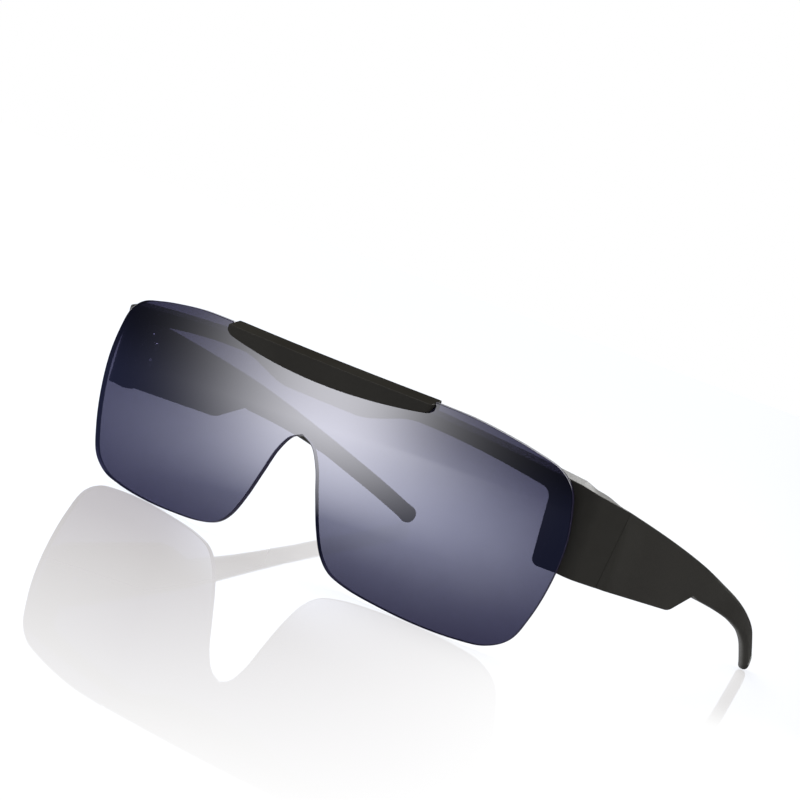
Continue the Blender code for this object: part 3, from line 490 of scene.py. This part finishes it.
def roll_edges(bm, edge_round, rim_material=0):
    """Rings of faces outside the flat middle; each vertex notes how deep its ring rolls over."""
    roll = bm.verts.layers.float["roll"]
    loop = boundary_loop(bm)
    base = [Vector((v.co.x, v.co.z)) for v in loop]
    out = outwards(base)
    reach = [edge_round(p) for p in base]
    near = loop
    for k in range(1, ROLL_STEPS + 1):
        angle = math.pi / 2 * k / ROLL_STEPS
        far = []
        for p, o, r in zip(base, out, reach):
            moved = p + o * r * math.sin(angle)
            vert = bm.verts.new((moved.x, 0.0, moved.y))
            vert[roll] = r * (1.0 - math.cos(angle))
            far.append(vert)
        for i in range(len(loop)):
            j = (i + 1) % len(loop)
            face = bm.faces.new((near[i], near[j], far[j], far[i]))
            face.material_index = rim_material if k > 1 else 0
        near = far


def bend(bm, thickness, place, rim_material=0):
    """Thicken a flat drawing and bend it with place(x, z, depth): 0 on the outer face, 1 inside."""
    roll = bm.verts.layers.float["roll"]
    bmesh.ops.recalc_face_normals(bm, faces=bm.faces)
    before = set(bm.faces)
    layer = bmesh.ops.extrude_face_region(bm, geom=bm.faces[:], use_keep_orig=True)
    inner = {item for item in layer["geom"] if isinstance(item, bmesh.types.BMVert)}
    for face in bm.faces:
        if face not in before and 0 < sum(v in inner for v in face.verts) < len(face.verts):
            face.material_index = rim_material
    for vert in bm.verts:
        depth = vert[roll] / thickness
        vert.co = place(vert.co.x, vert.co.z, 1.0 - depth if vert in inner else depth)
    wide = [face for face in bm.faces if len(face.verts) > 4]
    bmesh.ops.triangulate(bm, faces=wide)


def trim(bm, point, normal):
    geometry = bm.verts[:] + bm.edges[:] + bm.faces[:]
    bmesh.ops.bisect_plane(
        bm, geom=geometry, dist=1e-5, plane_co=point, plane_no=normal, clear_outer=True
    )
    rim = [edge for edge in bm.edges if edge.is_boundary]
    bmesh.ops.holes_fill(bm, edges=rim)


def piece(bm, name, finish, body, replaced):
    """A finished visual piece, moved into the shared frame."""
    bmesh.ops.recalc_face_normals(bm, faces=bm.faces)
    bm.transform(IN_FRAME)
    mesh = bpy.data.meshes.new(name)
    bm.to_mesh(mesh)
    bm.free()
    for item in finish:
        mesh.materials.append(item)
    mesh.shade_smooth()
    mesh.set_sharp_from_angle(angle=math.radians(50))
    thing = bpy.data.objects.new(name, mesh)
    bpy.context.scene.collection.objects.link(thing)
    weighted = thing.modifiers.new("normals", "WEIGHTED_NORMAL")
    weighted.keep_sharp = True
    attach(thing, body)
    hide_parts(replaced)
    return thing


# ---------------------------------------------------------------- lens

def lens_front_y(x, z):
    wrap = WRAP_RADIUS - math.sqrt(WRAP_RADIUS**2 - x * x)
    rise = RISE_RADIUS - math.sqrt(RISE_RADIUS**2 - (z - RISE_CENTRE_Z) ** 2)
    return wrap + rise


def place_on_lens(x, z, depth):
    slope = x / math.sqrt(WRAP_RADIUS**2 - x * x)
    run = LENS_THICKNESS * depth / math.hypot(1.0, slope)
    return Vector((x - run * slope, lens_front_y(x, z) + run, z))


def lens_normal(x, z):
    """Outward direction of the lens's front face."""
    across = x / math.sqrt(WRAP_RADIUS**2 - x * x)
    rise = (z - RISE_CENTRE_Z) / math.sqrt(RISE_RADIUS**2 - (z - RISE_CENTRE_Z) ** 2)
    return Vector((across, -1.0, rise)).normalized()


def true_lens_normals(mesh):
    """The lens's two faces shade with the curved sheet's own normals, so reflections stay clean."""
    roll = mesh.attributes["roll"].data
    back = IN_FRAME.inverted()
    turn = IN_FRAME.to_3x3().normalized()
    normals = []
    for vert, rolled in zip(mesh.vertices, roll):
        normal = vert.normal.copy()
        if rolled.value < 1e-6:
            place = back @ vert.co
            exact = turn @ lens_normal(place.x, place.z)
            normal = exact if exact.dot(normal) > 0 else -exact
        normals.append(normal)
    mesh.normals_split_custom_set_from_vertices(normals)


def make_lens():
    top = [(0.0, LENS_UNDER_BAR_Z), (LENS_UNDER_BAR_X, LENS_UNDER_BAR_Z)]
    outline = mirrored(top + spline(LENS_EDGE, 10))

    def edge_round(_):
        return LENS_EDGE_ROUND

    bm = flat(outline, edge_round, spaced(-72, 72, 3.0), spaced(-51, -3, 3.0))
    roll_edges(bm, edge_round, 1)
    bend(bm, LENS_THICKNESS, place_on_lens, 1)
    thing = piece(bm, "lens", (TINT, RIM), VISOR, "lens_shield")
    thing.modifiers.clear()
    true_lens_normals(thing.data)
    return thing


# ---------------------------------------------------------------- front

def corner_start_heading():
    reach = JOINT_X * math.sin(SIDE_HEADING) - JOINT_TOP_Y * math.cos(SIDE_HEADING)
    reach += WRAP_RADIUS * math.cos(SIDE_HEADING) - CORNER_RADIUS
    return SIDE_HEADING - math.acos(reach / (FRONT_RADIUS - CORNER_RADIUS))


CORNER_HEADING = corner_start_heading()
BROW_LENGTH = FRONT_RADIUS * CORNER_HEADING
CORNER_LENGTH = CORNER_RADIUS * (SIDE_HEADING - CORNER_HEADING)


def front_path(s):
    side = -1.0 if s < 0 else 1.0
    s = abs(s)
    if s <= BROW_LENGTH:
        heading = s / FRONT_RADIUS
        x = FRONT_RADIUS * math.sin(heading)
        y = WRAP_RADIUS - FRONT_RADIUS * math.cos(heading)
    else:
        turn = min(s - BROW_LENGTH, CORNER_LENGTH) / CORNER_RADIUS
        heading = CORNER_HEADING + turn
        inner = FRONT_RADIUS - CORNER_RADIUS
        x = inner * math.sin(CORNER_HEADING) + CORNER_RADIUS * math.sin(heading)
        y = WRAP_RADIUS - inner * math.cos(CORNER_HEADING) - CORNER_RADIUS * math.cos(heading)
        straight = max(s - BROW_LENGTH - CORNER_LENGTH, 0.0)
        x += straight * math.cos(heading)
        y += straight * math.sin(heading)
    return Vector((side * x, y)), Vector((side * math.sin(heading), -math.cos(heading)))


def side_length():
    start = front_path(BROW_LENGTH + CORNER_LENGTH)[0]
    return BROW_LENGTH + CORNER_LENGTH + (JOINT_TOP_Y - start.y) / math.sin(SIDE_HEADING)


SIDE_LENGTH = side_length()


def brow_top(s):
    at_corner = BROW_TOP_Z - BROW_TOP_FALL * (BROW_LENGTH / BROW_TOP_FALL_AT) ** 2
    if s <= BROW_LENGTH:
        return BROW_TOP_Z - BROW_TOP_FALL * (s / BROW_TOP_FALL_AT) ** 2
    return at_corner + (JOINT_TOP_Z - at_corner) * (s - BROW_LENGTH) / (SIDE_LENGTH - BROW_LENGTH)


def brow_low(s):
    dip = blend((s - BRIDGE_HALF_WIDTH) / (BROW_LOW_START - BRIDGE_HALF_WIDTH))
    fall = max(s - BROW_LOW_START, 0.0) / (BROW_LOW_END - BROW_LOW_START)
    return BRIDGE_LOW_Z + (BROW_LOW_Z - BRIDGE_LOW_Z) * dip - BROW_LOW_FALL * fall**1.8


def front_outline():
    overrun = SIDE_LENGTH + 3.0
    low_slope = (JOINT_LOW_Z - TAB_LOW_Z) / (SIDE_LENGTH - BROW_LENGTH)
    pocket = rounded([
        (0.0, POCKET_Z, 0.0), (POCKET_HALF_WIDTH, POCKET_Z, 0.5),
        (POCKET_HALF_WIDTH, brow_top(POCKET_HALF_WIDTH), 0.4), (12.0, brow_top(12.0), 0.0),
    ], 4)
    top = pocket[:-1] + [(s, brow_top(s)) for s in spaced(12.0, BROW_LENGTH, 2.0)]
    top += [(s, brow_top(s)) for s in spaced(BROW_LENGTH, overrun, 1.5)[1:]]
    corners = [
        (overrun, JOINT_LOW_Z + 3.0 * low_slope, 0.0),
        (BROW_LENGTH, TAB_LOW_Z, 0.0),
        (TAB_INNER_X + 0.8, TAB_LOW_Z, 1.8),
        (TAB_INNER_X, brow_low(TAB_INNER_X), 2.6),
        (BROW_LOW_END - 2.0, brow_low(BROW_LOW_END - 2.0), 0.0),
    ]
    low = [(s, brow_low(s)) for s in spaced(BROW_LOW_END - 2.0, 0.0, 1.5)[1:]]
    return mirrored(top + rounded(corners) + low)


def ridge_rise(s):
    """How far the inner face's upper edge stands above the outer one: less towards the joint."""
    along = (s - BROW_LENGTH - CORNER_LENGTH) / (SIDE_LENGTH - BROW_LENGTH - CORNER_LENGTH)
    return TOP_RIDGE_RISE + (TOP_RIDGE_END_RISE - TOP_RIDGE_RISE) * blend(along) ** 2


def place_on_front(s, z, depth):
    point, outward = front_path(s)
    at_top = abs(z - brow_top(abs(s))) < FRONT_EDGE_ROUND + 0.1
    lift = ridge_rise(abs(s)) * depth if at_top else 0.0
    inner = point - outward * FRONT_THICKNESS * depth
    return Vector((inner.x, inner.y, z + lift))


def joint_plane(side):
    back = Vector((0, math.cos(JOINT_LEAN), -math.sin(JOINT_LEAN)))
    return Vector((side * JOINT_X, JOINT_TOP_Y, JOINT_TOP_Z)), back


def make_front():
    half = spaced(2.0, 66.0, 2.0) + [68.0, 70.0]
    half += spaced(BROW_LENGTH, BROW_LENGTH + CORNER_LENGTH, CORNER_LENGTH / 10)
    half += spaced(BROW_LENGTH + CORNER_LENGTH, SIDE_LENGTH, 1.5)[1:-1]

    def edge_round(_):
        return FRONT_EDGE_ROUND

    bm = flat(front_outline(), edge_round, [-s for s in reversed(half)] + [0.0] + half)
    roll_edges(bm, edge_round)
    bend(bm, FRONT_THICKNESS, place_on_front)
    point, back = joint_plane(1)
    trim(bm, point - back * JOINT_GAP / 2, back)
    return piece(bm, "front", (BLACK,), FRONT, "front_frame")


# ---------------------------------------------------------------- temples

def temple_path(t):
    bend_angle = min(max(t - TEMPLE_BEND_START, 0.0) / TEMPLE_BEND_RADIUS, TEMPLE_BEND_ANGLE)
    straight = min(t, TEMPLE_BEND_START)
    x = JOINT_X - straight * math.sin(TEMPLE_TOE_IN)
    y = JOINT_TOP_Y + straight * math.cos(TEMPLE_TOE_IN)
    heading = TEMPLE_TOE_IN + bend_angle
    x -= TEMPLE_BEND_RADIUS * (math.cos(TEMPLE_TOE_IN) - math.cos(heading))
    y += TEMPLE_BEND_RADIUS * (math.sin(heading) - math.sin(TEMPLE_TOE_IN))
    rest = max(t - TEMPLE_BEND_START - TEMPLE_BEND_RADIUS * TEMPLE_BEND_ANGLE, 0.0)
    x -= rest * math.sin(heading)
    y += rest * math.cos(heading)
    return Vector((x, y)), Vector((math.cos(heading), math.sin(heading)))


def temple_at(y):
    """Path point and outward direction where the temple's outer face crosses y."""
    run = y - JOINT_TOP_Y
    along = run / math.cos(TEMPLE_TOE_IN)
    for _ in range(6):
        along += y - temple_path(along)[0].y
    return temple_path(along)


def temple_top(y):
    run = max(y - JOINT_TOP_Y, 0.0)
    droop = TEMPLE_TOP_DROOP * run**TEMPLE_TOP_DROOP_POWER
    return JOINT_TOP_Z - TEMPLE_TOP_SLOPE * (y - JOINT_TOP_Y) - droop


def temple_low(y):
    return temple_top(y) - between(PADDLE_HEIGHTS, y)


def temple_outline():
    start = JOINT_TOP_Y - 6.0
    top = [(y, temple_top(y)) for y in spaced(start, 158.5, 2.5)]
    slope = temple_top(TEMPLE_END_Y) - temple_top(TEMPLE_END_Y - 1.0)
    down = math.degrees(math.atan(slope))
    centre = (TEMPLE_END_Y, (temple_top(TEMPLE_END_Y) + temple_low(TEMPLE_END_Y)) / 2)
    tip = arc(centre, TIP_RADIUS, down + 90, down - 90, 14)
    paddle = [(y, temple_low(y)) for y in spaced(157.0, 82.0, 2.5)]
    low_slope = (NOTCH_LOW[1] - JOINT_LOW_Z) / (NOTCH_LOW[0] - JOINT_TOP_Y)
    notch = rounded([
        (82.0, temple_low(82.0), 0.0),
        (*NOTCH_HIGH, 2.0),
        (*NOTCH_LOW, 10.0),
        (start, JOINT_LOW_Z - 6.0 * low_slope, 0.0),
    ])
    return top + tip + paddle[:-1] + notch


def temple_edge_round(point):
    """Crisp along the wide part, full and soft round the paddle and tip."""
    soft = blend((point.x - NOTCH_HIGH[0]) / 22.0)
    return TEMPLE_EDGE_ROUND + (PADDLE_EDGE_ROUND - TEMPLE_EDGE_ROUND) * soft


def make_temple(side):
    bm = flat(temple_outline(), temple_edge_round, spaced(20.0, 160.0, 2.5))
    start, end = JOINT_TOP_Y - 8.0, INNER_BEVEL_END_Y
    line = (temple_top(end) - temple_top(start) + INNER_BEVEL_WIDTH) / (end - start)
    slice_at(bm, (start, 0, temple_top(start) - INNER_BEVEL_WIDTH), (-line, 0, 1))
    roll_edges(bm, temple_edge_round)

    def place(y, z, depth):
        point, outward = temple_at(y)
        below = temple_top(y) - z
        taper = blend((INNER_BEVEL_END_Y - y) / INNER_BEVEL_TAPER)
        reach = max(INNER_BEVEL_WIDTH * taper, 0.01)
        bevel = INNER_BEVEL_DEPTH * taper * min(max(1.0 - below / reach, 0.0), 1.0)
        step = max(JOINT_TOP_Y - y, 0.0) * (1 / math.tan(SIDE_HEADING) + math.tan(TEMPLE_TOE_IN))
        spot = point - outward * (step * (1.0 - depth) + (TEMPLE_THICKNESS - bevel) * depth)
        return Vector((side * spot.x, spot.y, z))

    bend(bm, TEMPLE_THICKNESS, place)
    point, back = joint_plane(side)
    trim(bm, point + back * JOINT_GAP / 2, -back)
    name = "temple_arm_" + TAG[side]
    return piece(bm, name, (BLACK,), ARM[side], "temple_" + TAG[side])


# ---------------------------------------------------------------- bar and pads

def bar_end(x):
    """0 along the bar, rising to 1 round its last few millimetres."""
    past = max(abs(x) - BAR_HALF_LENGTH + BAR_END_ROUND, 0.0) / BAR_END_ROUND
    return 1.0 - math.sqrt(max(1.0 - past * past, 0.0))


def bar_low(x):
    arch = (BAR_END_LOW_Z - BAR_MID_LOW_Z) * (x / BAR_HALF_LENGTH) ** 2
    return BAR_MID_LOW_Z + arch + BAR_END_RISE * bar_end(x)


def soft_loop(corners, radius, steps):
    """A closed outline whose corners are all turned by one radius."""
    loop = []
    for i, corner in enumerate(corners):
        near = (*corners[i - 1], 0.0)
        far = (*corners[(i + 1) % len(corners)], 0.0)
        loop += rounded([near, (*corner, radius), far], steps)[1:-1]
    return loop


def bar_section(x, shrink):
    back = BAR_BACK - BAR_BACK_TAPER * bar_end(x)
    loop = soft_loop([
        (BAR_FRONT, bar_low(x)), (BAR_SLOT_FRONT, bar_low(x)),
        (BAR_SLOT_FRONT, BAR_SLOT_TOP_Z), (BAR_SLOT_BACK, BAR_SLOT_TOP_Z),
        (BAR_SLOT_BACK, BAR_LIP_LOW_Z), (back, BAR_LIP_LOW_Z),
        (back, BAR_BACK_TOP_Z), (BAR_FRONT, BAR_FRONT_TOP_Z),
    ], BAR_EDGE_ROUND, 3)
    points = [Vector(p) for p in loop]
    return [p - out * shrink for p, out in zip(points, outwards(points))]


def make_bar():
    ends = ((0.0, 0.2), (0.05, 0.1), (0.2, 0.0), (0.4, 0.0), (0.7, 0.0), (1.1, 0.0), (1.6, 0.0))
    half = [(BAR_HALF_LENGTH - inward, shrink) for inward, shrink in ends]
    half += [(x, 0.0) for x in spaced(BAR_HALF_LENGTH - 2.1, 0.6, 1.5)]
    stations = [(-x, shrink) for x, shrink in half] + half[::-1]
    bm = bmesh.new()
    loops = []
    for x, shrink in stations:
        section = bar_section(x, shrink)
        loops.append([bm.verts.new((x, lens_front_y(x, p.y) + p.x, p.y)) for p in section])
    for near, far in zip(loops, loops[1:]):
        for i in range(len(near)):
            j = (i + 1) % len(near)
            bm.faces.new((near[i], near[j], far[j], far[i]))
    for ring in (loops[0], loops[-1]):
        bm.faces.new(ring)
    return piece(bm, "bar", (BAR_BLACK,), VISOR, "lens_bar")


def make_pad(side):
    half = PAD_HALF_LENGTH - PAD_HALF_WIDTH
    outline = arc((0, half), PAD_HALF_WIDTH, 0, 180, 16) + arc((0, -half), PAD_HALF_WIDTH, 180, 360, 16)
    thickness = WRAP_RADIUS - FRONT_RADIUS - LENS_THICKNESS - PAD_LENS_GAP - PAD_STAND_OFF

    def edge_round(_):
        return PAD_EDGE_ROUND

    def place(u, w, depth):
        bow = PAD_END_BOW * (w / PAD_HALF_LENGTH) ** 2
        z = PAD_MID_Z + w
        point, outward = front_path(side * (PAD_X - bow + u))
        height = PAD_STAND_OFF + (thickness - lens_front_y(0.0, z)) * (1.0 - depth)
        lifted = point + outward * height
        return Vector((lifted.x, lifted.y, z))

    bm = flat(outline, edge_round, (), spaced(-6.0, 6.0, 1.0))
    roll_edges(bm, edge_round)
    bend(bm, thickness, place)
    return piece(bm, "pad_" + TAG[side], (PAD,), FRONT, "bumper_pad_" + TAG[side])


# ---------------------------------------------------------------- hardware

def raise_inlay(node):
    """Stand an inlay a little proud of its temple, with its rim broken."""
    node.modifiers.new("joined", "WELD").merge_threshold = WELD_REACH
    proud = node.modifiers.new("proud", "DISPLACE")
    proud.mid_level = 0.0
    proud.strength = INLAY_PROUD * MM
    rim = node.modifiers.new("edges", "BEVEL")
    rim.width = INLAY_RIM * MM
    rim.segments = 2
    rim.limit_method = "ANGLE"
    rim.angle_limit = math.radians(40)


def dress_hardware():
    """The CAD's own small steel pieces and inlays, each with its own finish."""
    finishes = {
        "flip_knuckle": DARK_STEEL, "flip_base": DARK_STEEL, "flip_pin": BRIGHT_STEEL,
        "detent_spring": BRIGHT_STEEL, "spring_screw": BRIGHT_STEEL,
    }
    for tag in TAG.values():
        for name in ("bar_screw_", "base_screw_", "hinge_screw_"):
            finishes[name + tag] = BRIGHT_STEEL
        for name in ("hinge_leaf_front_", "hinge_leaf_temple_"):
            finishes[name + tag] = DARK_STEEL
        for place in ("upper", "lower"):
            finishes[f"front_screw_{tag}_{place}"] = BRIGHT_STEEL
            finishes[f"temple_screw_{tag}_{place}"] = BRIGHT_STEEL
        finishes["tip_inlay_" + tag] = PALE
        raise_inlay(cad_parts["tip_inlay_" + tag])
    for name, finish in finishes.items():
        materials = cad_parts[name].data.materials
        materials.clear()
        materials.append(finish)


# ---------------------------------------------------------------- studio

FLOOR_HALF = 3.0
FLOOR_DROP = 0.0001
FLOOR_GREY = (0.17, 0.17, 0.17, 1)
FLOOR_LEVEL = (0.86, 0.86, 0.86, 1)
FLOOR_MIRROR = (0.96, 1.08, 1.25, 1)
FLOOR_REST = (0.04, -0.08, -0.25, 1)
FLOOR_GLOSS_ROUGH = 0.02
FLOOR_NEAR_SHARE = 0.60
FLOOR_FAR_SHARE = 0.30
# Where the floor's mirror fades in: headings at both sides and dips below level, in degrees.
FLOOR_RIGHT_FADE = (-25.0, -36.0)
FLOOR_LEFT_FADE = (-80.0, -50.0)
FLOOR_NEAR_DIPS = (15.3, 8.8)
FLOOR_FAR_DIPS = (9.0, 8.0)

# A painted glow: a bright stretch of the floor's own light that shows through the lens only. Its heading, dip
# and spreads in degrees.
PAINTED_GLOW = (11.7, 13.2, 8.0, 1)
PAINTED_GLOW_HEADING, PAINTED_GLOW_LEFT, PAINTED_GLOW_RIGHT = -30.7, 4.6, 2.5
PAINTED_GLOW_DIP, PAINTED_GLOW_ABOVE, PAINTED_GLOW_BELOW = 6.45, 1.08, 1.05

# What the lens mirrors: a dim room with one soft glow, its heading, heights and spreads in degrees.
ROOM = (0.040, 0.046, 0.107, 1)
GLOW = (2.75, 2.73, 2.84, 1)
GLOW_HEADING, GLOW_LEFT, GLOW_RIGHT = -30.5, 10.8, 10.0
GLOW_FOOT, GLOW_FULL = -16.0, -8.8
GLOW_TOP_FADE = (2.0, -4.5)
# On its right the glow is dimmer above a step.
GLOW_STEP = 0.28
GLOW_STEP_HEIGHTS = (-8.6, -8.2)
GLOW_STEP_HEADINGS = (-26.0, -12.0)
ROOM_LOW_FADE = (-26.0, -14.0)
ROOM_UPPER_FADE = (-5.0, -10.0)
ROOM_UPPER_LEVEL = 0.25

# What the sides and tops mirror, by the direction's x, y and z: white behind on the left, dim
# behind on the right, and bright overhead.
BACK_FADE = (-0.15, 0.25)
BACK_RIGHT_FADE = (-0.42, -0.20)
BACK_RIGHT_LEVEL = 0.17
BACK_DEPTH_FADE = (0.4, 0.98)
BACK_DEPTH_LEVELS = (1.15, 0.75)
OVERHEAD_LEVEL = 12.0
OVERHEAD_FADES = ((-0.45, -0.28), (0.1, 0.45), (0.50, 0.70))
FILL_FADE = (-0.75, 0.0)

BLACK_LEVEL = (0.0, 0.0, 0.0, 1)
WHITE_LEVEL = (1.0, 1.0, 1.0, 1)
FRONT_FILL = (0.45, 0.45, 0.45, 1)


def floor_material():
    """White that turns into a soft mirror near the glasses, as seen from the camera's side, with a painted
    glow that shows through the lens only.
    """
    made, n = material("pale_floor")
    way = n.add("ShaderNodeSeparateXYZ")
    n.link(n.add("ShaderNodeNewGeometry").outputs["Incoming"], way.inputs[0])
    x, y, z = way.outputs
    heading = n.degrees("ARCTAN2", n.math("MULTIPLY", x, -1.0), n.math("MULTIPLY", y, -1.0))
    dip = n.degrees("ARCSINE", z)
    # Painted glow: a bright patch in the floor's own light, for camera rays through the lens only.
    across = n.bell(heading, PAINTED_GLOW_HEADING, PAINTED_GLOW_LEFT, PAINTED_GLOW_RIGHT)
    spot = n.math("MULTIPLY", across, n.bell(dip, PAINTED_GLOW_DIP, PAINTED_GLOW_ABOVE, PAINTED_GLOW_BELOW))
    path = n.add("ShaderNodeLightPath").outputs
    through_lens = n.math("MULTIPLY", path["Transparent Depth"], path["Is Camera Ray"], clamp=True)
    level = n.mix(n.math("MULTIPLY", spot, through_lens), FLOOR_LEVEL, PAINTED_GLOW)

    aside = n.ramp(heading, *FLOOR_RIGHT_FADE, smooth=False)
    aside = n.math("MULTIPLY", aside, n.ramp(heading, *FLOOR_LEFT_FADE))
    near = n.math("MULTIPLY", aside, n.ramp(dip, *FLOOR_NEAR_DIPS, smooth=False))
    direct = n.math("MULTIPLY", n.math("SUBTRACT", 1.0, through_lens), FLOOR_NEAR_SHARE)
    far = n.ramp(dip, *FLOOR_FAR_DIPS, 0.0, FLOOR_FAR_SHARE)
    fade = n.math("MAXIMUM", n.math("MULTIPLY", near, direct), far)

    tinted = n.add("ShaderNodeMix", data_type="RGBA", blend_type="MULTIPLY", clamp_factor=False)
    tinted.inputs[0].default_value = 1.0
    n.link(level, tinted.inputs[6])
    n.link(n.mix(fade, WHITE_LEVEL, FLOOR_REST), tinted.inputs[7])
    lit = n.add("ShaderNodeEmission")
    n.link(tinted.outputs[2], lit.inputs["Color"])
    matte = n.add("ShaderNodeBsdfDiffuse")
    matte.inputs["Color"].default_value = FLOOR_GREY
    gloss = n.add("ShaderNodeBsdfGlossy")
    n.link(n.mix(fade, BLACK_LEVEL, FLOOR_MIRROR), gloss.inputs["Color"])
    gloss.inputs["Roughness"].default_value = FLOOR_GLOSS_ROUGH
    n.finish(n.sum_shaders(n.sum_shaders(lit.outputs[0], matte.outputs[0]), gloss.outputs[0]))
    return made


def make_floor():
    bm = bmesh.new()
    bmesh.ops.create_grid(bm, x_segments=2, y_segments=2, size=FLOOR_HALF)
    mesh = bpy.data.meshes.new("floor")
    bm.to_mesh(mesh)
    bm.free()
    mesh.materials.append(floor_material())
    floor = bpy.data.objects.new("floor", mesh)
    bpy.context.scene.collection.objects.link(floor)
    floor.location.z = -FLOOR_DROP
    floor.visible_glossy = False


def make_world():
    """White all round, but what shows in reflections in front is a dark room with one soft glow."""
    world = bpy.data.worlds.new("studio")
    bpy.context.scene.world = world
    world.use_nodes = True
    n = Nodes(world.node_tree)
    way = n.add("ShaderNodeSeparateXYZ")
    n.link(n.add("ShaderNodeTexCoord").outputs["Generated"], way.inputs[0])
    x, y, z = way.outputs
    heading = n.degrees("ARCTAN2", x, n.math("MULTIPLY", y, -1.0))
    height = n.degrees("ARCSINE", z)

    across = n.bell(heading, GLOW_HEADING, GLOW_LEFT, GLOW_RIGHT)
    foot = n.ramp(height, GLOW_FOOT, GLOW_FULL, smooth=False)
    up = n.math("MULTIPLY", foot, n.ramp(height, *GLOW_TOP_FADE))
    edge = n.math("MULTIPLY", n.ramp(height, *GLOW_STEP_HEIGHTS), n.ramp(heading, *GLOW_STEP_HEADINGS))
    step = n.math("SUBTRACT", 1.0, n.math("MULTIPLY", edge, GLOW_STEP))
    glow = n.math("MULTIPLY", n.math("MULTIPLY", across, up), step)
    low_room = n.ramp(height, *ROOM_LOW_FADE, smooth=False)
    upper_room = n.ramp(height, *ROOM_UPPER_FADE, ROOM_UPPER_LEVEL, 1.0)
    level = n.math("MULTIPLY", low_room, upper_room)
    front = n.mix(glow, n.mix(level, BLACK_LEVEL, ROOM), GLOW)

    right_back = n.ramp(x, *BACK_RIGHT_FADE, 1.0, BACK_RIGHT_LEVEL)
    right_back = n.math("MULTIPLY", right_back, n.ramp(y, *BACK_DEPTH_FADE, *BACK_DEPTH_LEVELS))
    from_left, from_front, from_low = (n.ramp(v, *fade) for v, fade in zip((x, y, z), OVERHEAD_FADES))
    overhead = n.math("MULTIPLY", n.math("MULTIPLY", from_low, from_left), from_front)
    back_level = n.math("MULTIPLY_ADD", overhead, OVERHEAD_LEVEL, right_back)
    mirrored_in = n.mix(n.ramp(y, *BACK_FADE), front, n.mix(back_level, BLACK_LEVEL, WHITE_LEVEL))

    path = n.add("ShaderNodeLightPath").outputs
    soft = n.mix(n.ramp(y, *FILL_FADE), FRONT_FILL, WHITE_LEVEL)
    lit = n.mix(path["Is Diffuse Ray"], WHITE_LEVEL, soft)
    background = n.add("ShaderNodeBackground")
    n.link(n.mix(path["Is Glossy Ray"], lit, mirrored_in), background.inputs["Color"])
    output = n.add("ShaderNodeOutputWorld")
    n.link(background.outputs[0], output.inputs["Surface"])


def make_light(name, place, aim, size, power):
    data = bpy.data.lights.new(name, "AREA")
    data.shape = "RECTANGLE"
    data.size, data.size_y = size
    data.energy = power
    lamp = bpy.data.objects.new(name, data)
    bpy.context.scene.collection.objects.link(lamp)
    lamp.location = place
    lamp.rotation_euler = (Vector(aim) - Vector(place)).to_track_quat("-Z", "Y").to_euler()
    return lamp


CAMERA_AZIMUTH, CAMERA_ELEVATION, CAMERA_ROLL = 31.770, 4.086, 19.412
CAMERA_AIM = (-0.01627, -0.01845, 0.04328)
CAMERA_DISTANCE = 0.64989
CAMERA_LENS, CAMERA_SENSOR = 109.58, 36.0


def make_camera():
    """From the front right, nearly level, with the camera rolled."""
    azimuth, elevation = math.radians(CAMERA_AZIMUTH), math.radians(CAMERA_ELEVATION)
    back = Vector((math.sin(azimuth) * math.cos(elevation), -math.cos(azimuth) * math.cos(elevation),
                   math.sin(elevation)))
    level = back.to_track_quat("Z", "Y")
    camera = bpy.data.objects.new("camera", bpy.data.cameras.new("camera"))
    bpy.context.scene.collection.objects.link(camera)
    camera.rotation_mode = "QUATERNION"
    camera.rotation_quaternion = level @ Matrix.Rotation(math.radians(CAMERA_ROLL), 4, "Z").to_quaternion()
    camera.location = Vector(CAMERA_AIM) + back * CAMERA_DISTANCE
    camera.data.sensor_width = CAMERA_SENSOR
    camera.data.lens = CAMERA_LENS
    camera.data.clip_start = 0.01
    bpy.context.scene.camera = camera


make_lens()
make_bar()
make_front()
for side in (1, -1):
    make_temple(side)
    make_pad(side)
dress_hardware()

make_floor()
make_world()
make_light("top_soft", (-0.25, -0.15, 0.75), (0, 0, 0.03), (0.7, 0.5), 3.0)
make_camera()
bpy.context.scene.view_settings.view_transform = "Standard"
